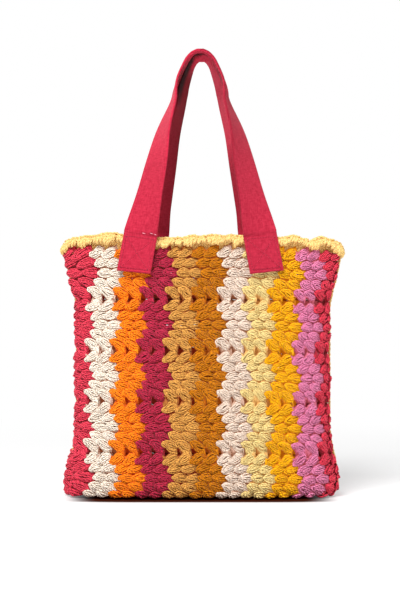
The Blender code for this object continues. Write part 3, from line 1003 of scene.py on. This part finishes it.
# How long the posts are there, in mm
POST_LINE = (
    (-1.0, 15.0),
    (-0.957, 15.0),
    (-0.915, 10.0),
    (-0.858, 15.4),
    (-0.80, 10.5),
    (-0.76, 11.0),
    (-0.695, 16.0),
    (-0.645, 13.5),
    (-0.617, 9.0),
    (-0.50, 15.0),
    (-0.40, 10.0),
    (-0.262, 13.0),
    (-0.206, 9.0),
    (-0.177, 11.0),
    (-0.142, 9.0),
    (-0.092, 15.0),
    (-0.014, 8.0),
    (0.078, 13.5),
    (0.135, 11.5),
    (0.184, 8.0),
    (0.241, 15.0),
    (0.32, 10.0),
    (0.42, 14.5),
    (0.518, 8.5),
    (0.60, 12.5),
    (0.674, 8.0),
    (0.766, 7.5),
    (0.835, 16.5),
    (0.905, 9.0),
    (0.97, 18.0),
    (1.0, 19.0),
)
print("edging:", EDGING_STITCHES, "stitches,", len(RIM_LINE), "heights and", len(POST_LINE), "lengths")

# %% [markdown]
# Every stitch has two posts side by side, which lean and fan out where the lower edge turns. Every four
# or five stitches swell into a lump, as the hook pulls them together. Two rows of chain links lie on
# them, one along the top and one lower and further out. A smooth ring with bumps would be lighter, but
# its outline would be too even for handwork.

# %% Work the edging
STITCH_SPREAD = 0.1
POST_ASIDE = 1.45 * MM
POST_BELOW = 0.5 * MM
POST_LEAN = -2.2
LEAN_SPREAD = 0.8
FAN = 0.018
FAN_MOST = 2.5
BACK_REACH = 4 * MM
LUMP_STITCHES = 4.6
LUMP_START = 0.3
LUMP_LENGTH = 1.4 * MM
LUMP_OUT = 0.35 * MM
LIP_OUT = 0.5 * MM
# Each row of the chain: how far below the top, how far out, and how much a lump pushes it out
CHAIN_ROWS = ((0.0, 0.8 * MM, 0.0), (4.4 * MM, 3.1 * MM, LIP_OUT))


class Mouth:
    """Every stitch round the mouth: its place, height, length, lean and share of a lump."""

    def __init__(self, count):
        girth = float(body.girth_at(0.0))
        number = np.arange(count)
        self.count = count
        self.centre = girth * (number + rng.normal(0, STITCH_SPREAD, count)) / count
        wide = float(half_width(WALL))
        across = (body.at(0 * self.centre, self.centre, 0 * self.centre)[:, 0] - BODY_SHIFT) / wide
        front = np.where(self.centre < girth / 2, 1.0, -1.0)
        self.top = through(RIM_LINE, across) * MM - CHAIN_RADIUS
        length = through(POST_LINE, across) * MM - CHAIN_RADIUS
        self.length = np.where(front > 0, length, self.top + BACK_REACH)
        grows = (through(POST_LINE, across + 0.02) - through(POST_LINE, across - 0.02)) / (0.04 * wide)
        self.lean = front * np.clip(grows * FAN, -FAN_MOST, FAN_MOST) * MM
        self.lump = np.abs(np.sin(np.pi * (number / LUMP_STITCHES + LUMP_START))) ** 0.7

    def place(self, local):
        """World points of strands that are drawn along the mouth, up and out."""
        along = local[..., 0] + self.centre[:, None, None]
        return body.at(-local[..., 1], along, local[..., 2])


def add_posts(skein, mouth, side):
    """One post of every stitch, on the left of it where `side` is -1 and on the right where it is 1."""
    post = np.array(POST)
    longer = LUMP_LENGTH * (mouth.lump - 0.6)
    length = mouth.length + rng.normal(0, 0.5 * MM, mouth.count) + longer
    high = mouth.top - POST_BELOW + rng.normal(0, 0.35 * MM, mouth.count)
    slant = rng.normal(POST_LEAN, LEAN_SPREAD, mouth.count) * MM + mouth.lean
    paths = np.zeros((mouth.count, len(post), 3))
    paths[..., 0] = side * POST_ASIDE + slant[:, None] * post[:, 0]
    paths[..., 1] = high[:, None] - length[:, None] * post[:, 0]
    paths[..., 2] = post[:, 1] * (MM + LUMP_OUT * mouth.lump[:, None])
    paths[:, -2:, 1] = INNER_FOOT
    paths = vary(paths, 0.35 * MM)
    radii = POST_RADIUS * rng.normal(1.0, 0.08, (mouth.count, 1)) * np.ones(len(post))
    radii[:, 0] *= 0.7
    local, coordinates = tubes(paths, radii, YARN_SIDES + 1, keel=(1.0, 0.0, 0.0))
    skein.add(mouth.place(local), coordinates)


def add_chain(skein, mouth, below, out, push):
    """One row of links, one for every stitch."""
    link = np.array(CHAIN) * MM
    paths = np.repeat(link[None, :, [0, 2, 1]], mouth.count, 0)
    paths[..., 1] += mouth.top[:, None] - below
    paths[..., 2] += out + push * mouth.lump[:, None]
    paths = vary(paths, 0.3 * MM)
    radii = np.full((mouth.count, len(link)), CHAIN_RADIUS)
    local, coordinates = tubes(paths, radii, YARN_SIDES + 1, keel=(0.0, 1.0, 0.0))
    skein.add(mouth.place(local), coordinates)


mouth = Mouth(EDGING_STITCHES)
skein = Skein("crochet_edging")
for side in (-1, 1):
    add_posts(skein, mouth, side)
for row in CHAIN_ROWS:
    add_chain(skein, mouth, *row)
edging_yarn = yarn("yarn_edging", *EDGING)
rim = skein.build(edging_yarn)
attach(rim, "root")
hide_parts("rim_edging")

# %% [markdown]
# ## The side seams
#
# The folded panel is open at both sides. The same yarn closes it: a chain of the same links runs down
# over the two edges, and one thick strand behind it fills the gap between them, so that no light comes
# through.

# %% Lace the side seams
SEAM_LENGTH = 348 * MM
SEAM_LINK = 7.0 * MM
SEAM_RADIUS = 1.4 * MM
SEAM_STRETCH = 1.15
SEAM_PROUD = {"seam_left": 0.8 * MM, "seam_right": 3.1 * MM}
FILLER_RADIUS = 2.4 * MM
FILLER_DEPTH = 1.5 * MM
FILLER_POINTS = 60


def seam(name, right):
    """A chain of links down one side, on a filler strand."""
    skein = Skein("laced_" + name)
    count = int(SEAM_LENGTH / SEAM_LINK)
    down = (np.arange(count) + 0.5) * SEAM_LINK
    middle = body.seam(down, right)
    link = np.array(CHAIN) * MM
    link[:, 0] *= SEAM_STRETCH
    paths = np.repeat(link[None, :, [1, 0, 2]], count, 0)
    paths[..., 2] += SEAM_PROUD[name]
    paths = vary(paths, 0.2 * MM)
    local, coordinates = tubes(paths, np.full((count, len(link)), SEAM_RADIUS), YARN_SIDES)
    across = local[..., 0] + middle[:, None, None]
    skein.add(body.at(down[:, None, None] - local[..., 1], across, local[..., 2]), coordinates)
    run = np.linspace(0.0, SEAM_LENGTH, FILLER_POINTS)
    path = np.stack([run * 0, -run, run * 0 - FILLER_DEPTH], 1)[None]
    local, coordinates = tubes(path, np.full((1, FILLER_POINTS), FILLER_RADIUS), YARN_SIDES)
    filler = body.seam(-local[..., 1], right)
    skein.add(body.at(-local[..., 1], local[..., 0] + filler, local[..., 2]), coordinates)
    return skein


for name, right in (("seam_left", False), ("seam_right", True)):
    piece = seam(name, right).build(edging_yarn)
    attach(piece, "root")
    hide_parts(name)

# %% [markdown]
# ## The straps
#
# Each strap is a tube of crimson canvas pressed flat. Its two ends are turned under and sewn to the
# outside of the wall, over the edging, so they are thicker there. From the rim the strap leans inwards,
# and it turns edge-on to the front as it rises, so that both straps lie side by side over the top like
# one rounded grip. The leg is a list of stations: the rise, how far from the middle, and how far the
# strap has turned.

# %% Route the straps
STRAP_WIDTH = 48 * MM
STRAP_THICKNESS = 3.6 * MM
HEM_THICKNESS = 5.4 * MM
HANDLE_RISE = 256.9 * MM
FOLD = WALL + 21.5 * MM
PATCH_LENGTH = 54.5 * MM
PATCH_SPLAY = 10.2 * MM
STRAP_PROUD = 7.4 * MM
STRAP_FLAT = 10 * MM
STRAP_GAP = 0.8 * MM
PATCH_SQUARE = 0.6
PATCH_LEAN = 4.0
PATCH_STATIONS = 12
LEG_STATIONS = 84
# The turned-under end thins to a single band just above the fold
HEM_LINE = ((0.0, HEM_THICKNESS), (0.02, STRAP_THICKNESS))
# Each guide of a leg: share of the rise, share of the spacing on the front strap and on the back one,
# then the twist of the front strap and of the back one in degrees
LEG = (
    (0.0, 1.0, 1.0, 5.0, 5.0),
    (0.019, 0.992, 0.988, 13.0, 13.0),
    (0.129, 0.916, 0.930, 30.0, 30.0),
    (0.240, 0.841, 0.846, 41.0, 41.0),
    (0.403, 0.732, 0.730, 51.0, 50.5),
    (0.570, 0.622, 0.587, 66.0, 66.0),
    (0.726, 0.461, 0.434, 80.0, 75.0),
    (0.800, 0.424, 0.392, 86.0, 73.0),
    (0.854, 0.376, 0.346, 90.0, 75.0),
    (0.936, 0.254, 0.245, 92.0, 80.0),
    (0.966, 0.192, 0.196, 92.0, 82.0),
    (0.987, 0.130, 0.134, 91.0, 85.0),
)
TOP_ROLL = 0.1


def wall_front(x, height):
    """How far in front of the middle the wall and its edging stand."""
    height = min(height, WALL)
    wide = float(half_width(height))
    deep = float(half_depth(height))
    return deep * (1 - min(abs(x) / wide, 1) ** ROUNDNESS) ** (1 / ROUNDNESS) + STRAP_PROUD


def strap_leg(spacing, back):
    """Stations from the patch up to the top: x, y, z, turn and thickness."""
    stations = []
    lean_back = math.radians(PATCH_LEAN)
    first_turn = math.radians(LEG[0][3])
    for share in np.linspace(0, 1, PATCH_STATIONS, endpoint=False):
        height = FOLD - PATCH_LENGTH * (1 - share)
        x = spacing + PATCH_SPLAY * (1 - share)
        stand = wall_front(x, height) + STRAP_GAP + HEM_THICKNESS / 2
        turn = lean_back + (first_turn - lean_back) * share**2
        stations.append((-x, -stand, height, turn, HEM_THICKNESS))
    stand = wall_front(spacing, WALL) + STRAP_GAP + HEM_THICKNESS / 2
    lean_in = stand - STRAP_WIDTH / 2 * math.sin(first_turn)
    for rise, front_spread, back_spread, front_twist, back_twist in smooth_route(LEG, LEG_STATIONS):
        turn = math.radians(back_twist if back else front_twist)
        apart = STRAP_WIDTH / 2 * math.sin(turn) + STRAP_GAP / 2
        y = apart + (lean_in - STRAP_GAP / 2) * (1 - rise) ** 2
        thickness = through(HEM_LINE, rise)
        spread = back_spread if back else front_spread
        lift = TOP_ROLL * rise**6 * STRAP_WIDTH / 2
        stations.append((-spacing * spread, -y, FOLD + HANDLE_RISE * rise + lift, turn, thickness))
    beside = (STRAP_WIDTH + STRAP_GAP) / 2
    top = FOLD + HANDLE_RISE + lift
    stations += [(x, -beside, top, math.pi / 2, STRAP_THICKNESS) for x in (-STRAP_FLAT / 2, 0.0)]
    return np.array(stations)


print("a strap rises", round(HANDLE_RISE / MM), "mm over its fold, through", len(LEG), "guides")

# %% [markdown]
# A band is a surface laid along those stations. The right leg mirrors the left one, and the back strap is
# mirrored to the back, with a spacing and a twist of its own. Along the sewn patch it may lie a little
# slanted, and from the fold up its width stands square to its length. Cloth that is simulated would hang
# in its own way, and these straps are to stand as the photo shows them.

# %% Lay the bands along their routes


class Band:
    """A strap as a surface: along it from the left end, across it, and out from its middle layer."""

    def __init__(self, spacing, shift, back):
        leg = strap_leg(spacing, back)
        other = leg[-2::-1] * (-1, 1, 1, -1, 1) + (0, 0, 0, math.pi, 0)
        stations = np.concatenate([leg, other])
        centre = stations[:, :3]
        along = unit(np.gradient(centre, axis=0))
        turn = stations[:, 3]
        rise = np.clip((centre[:, 2] - FOLD) / HANDLE_RISE, 0, 1)
        across = np.stack([np.cos(turn), -np.sin(turn), -TOP_ROLL * rise**6], 1)
        square = np.where(centre[:, 2] < FOLD - 0.1 * MM, PATCH_SQUARE, 1.0)[:, None]
        across = unit(across - along * (along * across).sum(1, keepdims=True) * square)
        face = np.cross(across, along)
        self.thickness = stations[:, 4]
        self.run = np.concatenate([[0], np.cumsum(np.linalg.norm(np.diff(centre, axis=0), axis=1))])
        self.length = self.run[-1]
        self.flip = np.array([1, -1, 1]) if back else np.ones(3)
        centre = centre + np.stack([shift[0] + (shift[1] - shift[0]) * rise, 0 * rise, 0 * rise], 1)
        self.frames = np.concatenate([centre, across, face], 1)

    def at(self, along, across, layer):
        """A world point, where `layer` is 1 on the outer face and -1 on the inner one."""
        along, across, layer = np.broadcast_arrays(along, across, layer)
        read = np.stack([np.interp(along, self.run, self.frames[:, k]) for k in range(9)], -1)
        centre, sideways, outwards = read[..., :3], read[..., 3:6], read[..., 6:]
        thick = np.interp(along, self.run, self.thickness)[..., None] / 2
        return (centre + sideways * across[..., None] + outwards * layer[..., None] * thick) * self.flip


# How far each leg stands from the middle of its strap, and how far the strap lies aside at its fold and
# top
bands = {
    "strap_front": Band(83.6 * MM, (-1 * MM, -1 * MM), False),
    "strap_back": Band(74.5 * MM, (4 * MM, 1.2 * MM), True),
}
print("strap lengths:", [round(band.length, 3) for band in bands.values()])

# %% [markdown]
# Canvas is a plain weave of thick and thin threads. The weave is two crossing waves in the strap's own
# coordinates, wandering a little, and the mottling comes from long soft noise along both directions, as
# slubs in the thread make it. A second layer of coordinates, "nook", says how much painted shade each
# place of a strap gets, and how much painted light, standing for the light that the floor and the other
# strap throw up on it.

# %% Weave the canvas
THREAD = 0.9 * MM
SLUB_SCALE = 5.0
SLUB_LENGTH = 4.0
GRAIN_SCALE = 30.0
CLOUD_SCALE = 2.2
WEAVE_DEPTH = 0.5 * MM
CANVAS_DEEP = (150, 18, 42)
CANVAS_TONE = (190, 44, 68)
# The near-black tone of the painted shade in the nook, and the painted light thrown up on the lower faces
NOOK_SHADE_TONE = (14, 3, 3)
THROWN_UP = (118, 18, 38)


def slubs(graph, cloth, stretch):
    """Soft noise drawn out along one direction of the cloth."""
    drawn_out = graph.node("ShaderNodeMapping", {}, {0: cloth, 3: stretch})
    return graph.noise(drawn_out, SLUB_SCALE, 3.0)


def canvas_material():
    """Crimson canvas."""
    graph = Graph("canvas_crimson")
    cloth = graph.node("ShaderNodeUVMap", {"uv_map": "cloth"})
    mottle = slubs(graph, cloth, (1 / SLUB_LENGTH, 1.0, 1.0)) * 0.5
    mottle = mottle + slubs(graph, cloth, (1.0, 1 / SLUB_LENGTH, 1.0)) * 0.5
    fine = graph.noise(cloth, GRAIN_SCALE, 3.0)
    patch = graph.noise(cloth, CLOUD_SCALE, 4.0)
    pace = 2 * math.pi / (2 * THREAD * CM_PER_METRE)
    weft = (graph.part(cloth, 0) * pace + patch * 2.0).math("SINE")
    warp = (graph.part(cloth, 1) * pace + patch * 2.0).math("SINE")
    weave = weft * warp * 0.5 + 0.5
    share = (mottle - 0.5) * 2.4 + (fine - 0.5) * 0.8 + (weave - 0.5) * 0.35 + (patch - 0.5) * 0.8 + 0.55
    share = share.math("MAXIMUM", 0.0).math("MINIMUM", 1.0)
    colour = graph.mix(share, linear(*CANVAS_DEEP), linear(*CANVAS_TONE))
    # Painted shade from the nook layer darkens the colour, and painted light thrown up on the faces is
    # given as glow
    nook = graph.node("ShaderNodeUVMap", {"uv_map": "nook"})
    colour = graph.mix(graph.part(nook, 0), colour, linear(*NOOK_SHADE_TONE))
    graph.glow(graph.mix(graph.part(nook, 1), (0, 0, 0, 1), linear(*THROWN_UP)))
    height = weave * 0.5 + fine * 0.3 + mottle * 0.6
    return graph.finish(colour, 0.88, height, WEAVE_DEPTH, 0.8, sheen=0.05)


canvas = canvas_material()
print("the weave has a thread every", THREAD / MM, "mm")

# %% [markdown]
# A strap is a pressed tube, so its section is flat with rounded folds at the sides. Its ends are turned
# under: they have a rounded edge and a dent where the first row of stitches pulls them in.

# %% Draw the section and the hem
FACE_STEPS = 12
EDGE_STEPS = 6
EDGE_FOLD = 0.45 * STRAP_THICKNESS
HEM_ROUND = 1.6 * MM
HEM_ROW = 4.2 * MM
HEM_ROW_WIDTH = 0.9 * MM
HEM_PULL = 0.22


def band_section():
    """One ring round the strap: (across, layer), flat faces with rounded folds at the sides."""
    flat = STRAP_WIDTH / 2 - EDGE_FOLD
    ring = [(x, 1.0) for x in np.linspace(-flat, flat, FACE_STEPS)]
    bend = [math.pi / 2 - math.pi * k / EDGE_STEPS for k in range(1, EDGE_STEPS)]
    ring += [(flat + EDGE_FOLD * math.cos(b), math.sin(b)) for b in bend]
    ring += [(x, -1.0) for x in np.linspace(flat, -flat, FACE_STEPS)]
    ring += [(-flat - EDGE_FOLD * math.cos(b), -math.sin(b)) for b in bend]
    return np.array(ring)


def hem_profile(along, length):
    """How full the strap is near its ends: a rounded edge, then the pull of a row of stitches."""
    end = np.minimum(along, length - along)
    rounded = np.sqrt(1 - np.clip(1 - end / HEM_ROUND, 0, 1) ** 2)
    pulled = 1 - HEM_PULL * np.exp(-(((end - HEM_ROW) / HEM_ROW_WIDTH) ** 2))
    return np.clip(rounded * pulled, 0.05, 1)


print("points round a strap:", len(band_section()))

# %% [markdown]
# Where the two straps lie side by side at the top they hide the light from each other, and their lower
# faces are lit by the white floor instead. Traced light alone gave too little of both, so each place of a
# strap has a share of dark and a share of thrown-up light, read off the photo. Shares that fade by the
# rise of the strap and the distance from its near edge hold for every side that the bag is seen from.

# %% Shade the nook between the straps
GROOVE_WIDTH = 7 * MM


def ramp(low, high, at):
    """Goes softly from 0 at `low` to 1 at `high`."""
    share = np.clip((at - low) / (high - low), 0, 1)
    return share * share * (3 - 2 * share)


def nook_shade(band, along, across, layer, back):
    """For every place on a strap: how dark the nook makes it, and how far light is thrown up on it."""
    height = np.interp(along, band.run, band.frames[:, 2])
    rise = np.clip((height - FOLD) / HANDLE_RISE, 0, 1)
    left = along < band.length / 2
    near = STRAP_WIDTH / 2 + across
    # The groove where both straps meet, the face that the other strap hides, and what is turned away
    groove = ramp(0.72, 0.84, rise) * np.exp(-((near / GROOVE_WIDTH) ** 2))
    hidden = ramp(0.62, 0.84, rise) * (1 - ramp(12 * MM, 34 * MM, near)) * (1 - ramp(0.975, 1.0, rise))
    turned_away = 0.35 * ramp(-0.02, 0.05, rise) * (1 - ramp(0.35, 0.6, rise) * np.where(left, 0, 1))
    turned_away = turned_away * (1 - ramp(0.9, 0.99, rise))
    if back:
        dark = np.maximum(np.where(left, hidden, 0), groove) * 0.95
        lit = np.where(left, ramp(0.88, 0.97, rise) * ramp(12 * MM, 26 * MM, near), ramp(0.35, 0.6, rise))
    else:
        dark = groove * 0.3
        lit = ramp(0.85, 0.97, rise) * 0.9
    # All of that is for inner faces. Outer ones get a little painted shade on the right leg and more on
    # its rounded edge, and the left leg's outer face gets painted light half way up
    inner = layer < -0.3
    fold = (np.abs(layer) < 0.97) & (across > 0)
    outer = np.where(left, 0, 0.1 + 0.28 * fold * ramp(0.0, 0.2, rise))
    dark = np.where(inner, np.maximum(dark, turned_away), outer)
    halfway = 0.6 * ramp(0.35, 0.5, rise) * (1 - ramp(0.78, 0.92, rise))
    outer_painted_light = np.where(left & (layer > 0), halfway, 0)
    return dark, np.where(inner, lit * (1 - dark), outer_painted_light)


print("the groove between the straps is dark for", round(GROOVE_WIDTH / MM), "mm")

# %% [markdown]
# Rings of the section are laid every 3 mm, and closer together at the ends, where the hem is rounded.
# Both layers of coordinates are stored on the corners of the faces.

# %% Make the bands
BAND_STEP = 3 * MM
HEM_STEPS = (0.0, 0.25, 0.6, 1.1, 1.7, 2.6, 3.4, 4.2, 5.0, 6.0)


def band_stations(band):
    """How far along a strap its rings lie."""
    ends = np.array(HEM_STEPS) * MM
    even = np.linspace(0, band.length, int(band.length / BAND_STEP))
    return np.unique(np.concatenate([even, ends, band.length - ends]))


def make_band(name, band):
    """One strap: rings joined by quads, and a cap at either end."""
    ring = band_section()
    along = band_stations(band)
    count = len(along)
    sides = len(ring)
    layer = ring[None, :, 1] * hem_profile(along, band.length)[:, None]
    points = band.at(along[:, None], ring[None, :, 0], layer)
    quads, wraps = tube_faces(1, count, sides)
    caps = [list(range(sides))[::-1], [k + (count - 1) * sides for k in range(sides)]]
    mesh = bpy.data.meshes.new(name)
    mesh.from_pydata(points.reshape(-1, 3).tolist(), [], quads.tolist() + caps)
    steps = np.diff(ring * (1, STRAP_THICKNESS / 2), axis=0)
    around = np.concatenate([[0], np.cumsum(np.linalg.norm(steps, axis=1))])
    cloth = np.zeros((count, sides, 2))
    cloth[..., 0] = along[:, None]
    cloth[..., 1] = around
    cloth = cloth.reshape(-1, 2)[quads]
    cloth[..., 1] += wraps * (around[-1] + 1 * MM)
    store(mesh, "cloth", cloth.reshape(-1, 2) * CM_PER_METRE)
    shades = nook_shade(band, along[:, None], ring[None, :, 0], ring[None, :, 1], name == "strap_back")
    store(mesh, "nook", np.stack([shade.reshape(-1)[quads].ravel() for shade in shades], 1))
    mesh.shade_smooth()
    mesh.materials.append(canvas)
    made = into_scene(name, mesh)
    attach(made, "root")
    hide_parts(name)
    print(name, "faces:", len(mesh.polygons))


for name, band in bands.items():
    make_band(name, band)

# %% [markdown]
# ## Sewing thread
#
# A box with a cross in it holds each strap end, with a row of stitches along the turned-under hem. The
# thread is the canvas's own crimson, so it shows only as small raised dashes. Where the front left strap
# bends over the rim, a few long pale dashes are a painted highlight on the fold, laid like stitches. Each
# stitch is a short tube that dips into the canvas at both ends, as a drawn-tight thread does.

# %% Sew the straps on
STITCH = 3.0 * MM
STITCH_GAP = 1.1 * MM
STITCH_POINTS = 7
STITCH_SIDES = 6
STITCH_LIFT = 0.15 * MM
THREAD_RADIUS = 0.5 * MM
FOLD_HIGHLIGHT_RADIUS = 0.6 * MM
BOX_MARGIN = 5 * MM
BOX_SIDE_MARGIN = 4.5 * MM
# The pale dashes of painted highlight on the fold: how far above the fold each starts and how far across,
# then the same for its end, in mm
FOLD_HIGHLIGHT_DASHES = ((3.4, 2.5, 3.1, 7.2), (5.0, 13.5, 4.6, 18.2), (4.6, 19.4, 4.2, 23.2))


def dashes(start, end):
    """Start and end of every stitch along a straight line on the strap."""
    start = np.array(start)
    end = np.array(end)
    span = np.linalg.norm(end - start)
    count = max(1, round((span + STITCH_GAP) / (STITCH + STITCH_GAP)))
    pitch = (span + STITCH_GAP) / count
    ahead = (end - start) / span
    starts = [start + ahead * pitch * k for k in range(count)]
    return [(first, first + ahead * (pitch - STITCH_GAP)) for first in starts]


def sew(name, band, lines, radius, material):
    """Lays one short tube on the strap for every stitch."""
    skein = Skein(name)
    share = np.linspace(0, 1, STITCH_POINTS)
    bow = np.sin(math.pi * share)
    paths = []
    for start, end in lines:
        flat = start + (end - start) * share[:, None]
        here = band.at(flat[:, 0], flat[:, 1], 1.0)
        proud = band.at(flat[:, 0], flat[:, 1], 2.0)
        paths.append(here + unit(proud - here) * (STITCH_LIFT + radius * (0.5 * bow - 0.6))[:, None])
    paths = np.array(paths)
    fat = radius * (0.55 + 0.45 * bow) * np.ones((len(paths), 1))
    world, coordinates = tubes(paths, fat, STITCH_SIDES, keel=(0.31, 0.95, 0.05))
    skein.add(world, coordinates)
    made = skein.build(material)
    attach(made, "root")
    return made


def box_and_cross(band, left):
    """The stitches that hold one end of a strap."""
    low = BOX_MARGIN
    high = PATCH_LENGTH - BOX_MARGIN
    half = STRAP_WIDTH / 2 - BOX_SIDE_MARGIN
    corners = [(low, -half), (low, half), (high, half), (high, -half)]
    if not left:
        corners = [(band.length - a, c) for a, c in corners]
    pairs = [(0, 1), (1, 2), (2, 3), (3, 0), (0, 2), (1, 3)]
    lines = []
    for a, b in pairs:
        lines += dashes(corners[a], corners[b])
    return lines


thread = yarn("thread_crimson", (226, 70, 96), (176, 30, 60))
# Pale yarn for the painted highlight on the fold
fold_highlight_yarn = yarn("pale_painted_highlight", (250, 205, 212), (226, 130, 150))
for name, band in bands.items():
    lines = box_and_cross(band, True) + box_and_cross(band, False)
    sewn = sew("thread_" + name, band, lines, THREAD_RADIUS, thread)
fold = np.array((PATCH_LENGTH, 0.0))
pale = [(fold + np.array(s[:2]) * MM, fold + np.array(s[2:]) * MM) for s in FOLD_HIGHLIGHT_DASHES]
fold_highlight_sewn = sew("fold_painted_highlight", bands["strap_front"], pale, FOLD_HIGHLIGHT_RADIUS, fold_highlight_yarn)

# %% [markdown]
# ## Floor and light
#
# A plain white floor meets a white background. The floor is only a little brighter to the camera than it
# is in the room, so the soft shadow under the bag stays, and it grows fully white further out. The dark
# warm line under the front edge is painted on the floor: light that falls from all sides washes out such
# a thin shadow.

# %% Make the floor
FLOOR_HALF = 6.0
FLOOR_WHITE = (0.9, 0.9, 0.9, 1)
FLOOR_GLOW = 0.5
GLOW_FROM = 0.25
GLOW_TO = 1.3
FOOT_SHADOW = (152 * MM, 35 * MM)
FOOT_SHADOW_BEHIND = 31 * MM
FOOT_TONE = (58, 22, 10)


def fade(graph, value, low, high, first, last):
    """Goes softly from `first` to `last` while the value goes from `low` to `high`."""
    values = {0: value, 1: low, 2: high, 3: first, 4: last}
    return graph.node("ShaderNodeMapRange", {"interpolation_type": "SMOOTHSTEP"}, values)


def foot_clear(graph, place):
    """0 in the shadow under the front edge and 1 clear of it, over a long oval with square corners."""
    reach = (1 / FOOT_SHADOW[0], 1 / FOOT_SHADOW[1], 0.0)
    middle = (0.0, FOOT_SHADOW_BEHIND / FOOT_SHADOW[1], 0.0)
    settings = {"operation": "MULTIPLY_ADD"}
    foot = graph.node("ShaderNodeVectorMath", settings, {0: place, 1: reach, 2: middle})
    x = graph.part(foot, 0)
    y = graph.part(foot, 1)
    return fade(graph, (x * x) ** 3 + (y * y) ** 3, 0.8, 5.0, 0.0, 1.0)


def floor_material():
    """White paint that also glows when it is looked at, and doesn't light the bag more for it."""
    graph = Graph("floor_white")
    graph.even("Roughness", 0.9)
    graph.even("Specular IOR Level", 0.0)
    path = graph.tree.nodes.new("ShaderNodeLightPath")
    seen = Flow(graph, path.outputs["Is Camera Ray"]) + Flow(graph, path.outputs["Is Glossy Ray"])
    seen = seen + Flow(graph, path.outputs["Is Transmission Ray"])
    place = graph.node("ShaderNodeTexCoord", {}, {}, 3)
    away = graph.node("ShaderNodeVectorMath", {"operation": "LENGTH"}, {0: place}, 1)
    far = fade(graph, away, GLOW_FROM, GLOW_TO, FLOOR_GLOW, 1.0)
    clear = foot_clear(graph, place)
    graph.feed("Base Color", graph.mix(clear, linear(*FOOT_TONE), FLOOR_WHITE))
    glow = graph.tree.nodes.new("ShaderNodeEmission")
    choose = graph.tree.nodes.new("ShaderNodeMixShader")
    graph.tree.links.new((seen.math("MINIMUM", 1.0) * (far * clear)).socket, choose.inputs[0])
    graph.tree.links.new(graph.shader.outputs[0], choose.inputs[1])
    graph.tree.links.new(glow.outputs[0], choose.inputs[2])
    graph.tree.links.new(choose.outputs[0], graph.tree.nodes["Material Output"].inputs["Surface"])
    return graph.material


mesh = bpy.data.meshes.new("floor")
corners = [(x * FLOOR_HALF, y * FLOOR_HALF, 0) for x, y in ((-1, -1), (1, -1), (1, 1), (-1, 1))]
mesh.from_pydata(corners, [], [(0, 1, 2, 3)])
mesh.materials.append(floor_material())
floor = into_scene("floor", mesh)
print("the floor is", 2 * FLOOR_HALF, "m wide")

# %% [markdown]
# One large soft lamp stands to the upper left, a small one low on the right picks out the straps, and a
# weak one behind keeps the back from going dark. The surroundings fill in the rest. They are white to the
# eye and give little light, so that the lamps shape the relief of the puffs.

# %% Light the studio
ROOM_LIGHT = 0.18
BACKDROP_LIGHT = 1.0
# Each lamp: where it stands and what it points at in metres, its size in metres and its power in watts
LAMPS = {
    "key": ((-0.7, -1.9, 2.4), (0, 0, 0.3), 1.5, 130),
    "side": ((2.25, -0.55, 0.62), (0, 0, 0.45), 1.0, 22),
    "behind": ((-1.8, 1.9, 0.7), (0, 0.05, 0.12), 1.6, 28),
}


def lamp(name, place, aim, size, watts):
    """A round area lamp that points at a place."""
    data = bpy.data.lights.new(name, "AREA")
    data.shape = "DISK"
    data.size = size
    data.energy = watts
    made = into_scene(name, data)
    made.location = place
    direction = np.array(aim) - np.array(place)
    made.rotation_euler = mathutils.Vector(direction).to_track_quat("-Z", "Y").to_euler()


def make_world():
    """A dim white room with a bright white backdrop, which is only seen and lights nothing."""
    world = bpy.data.worlds.new("studio")
    world.use_nodes = True
    bpy.context.scene.world = world
    tree = world.node_tree
    room = tree.nodes["Background"]
    backdrop = tree.nodes.new("ShaderNodeBackground")
    for made, strength in ((room, ROOM_LIGHT), (backdrop, BACKDROP_LIGHT)):
        made.inputs[0].default_value = (1, 1, 1, 1)
        made.inputs[1].default_value = strength
    path = tree.nodes.new("ShaderNodeLightPath")
    shown = path.outputs["Is Camera Ray"]
    for kind in ("Is Glossy Ray", "Is Transmission Ray"):
        either = tree.nodes.new("ShaderNodeMath")
        either.operation = "MAXIMUM"
        tree.links.new(shown, either.inputs[0])
        tree.links.new(path.outputs[kind], either.inputs[1])
        shown = either.outputs[0]
    choose = tree.nodes.new("ShaderNodeMixShader")
    tree.links.new(shown, choose.inputs[0])
    tree.links.new(room.outputs[0], choose.inputs[1])
    tree.links.new(backdrop.outputs[0], choose.inputs[2])
    tree.links.new(choose.outputs[0], tree.nodes["World Output"].inputs[0])


make_world()
for name, settings in LAMPS.items():
    lamp(name, *settings)
bpy.context.scene.view_settings.view_transform = "Standard"
print("lamps:", ", ".join(LAMPS))
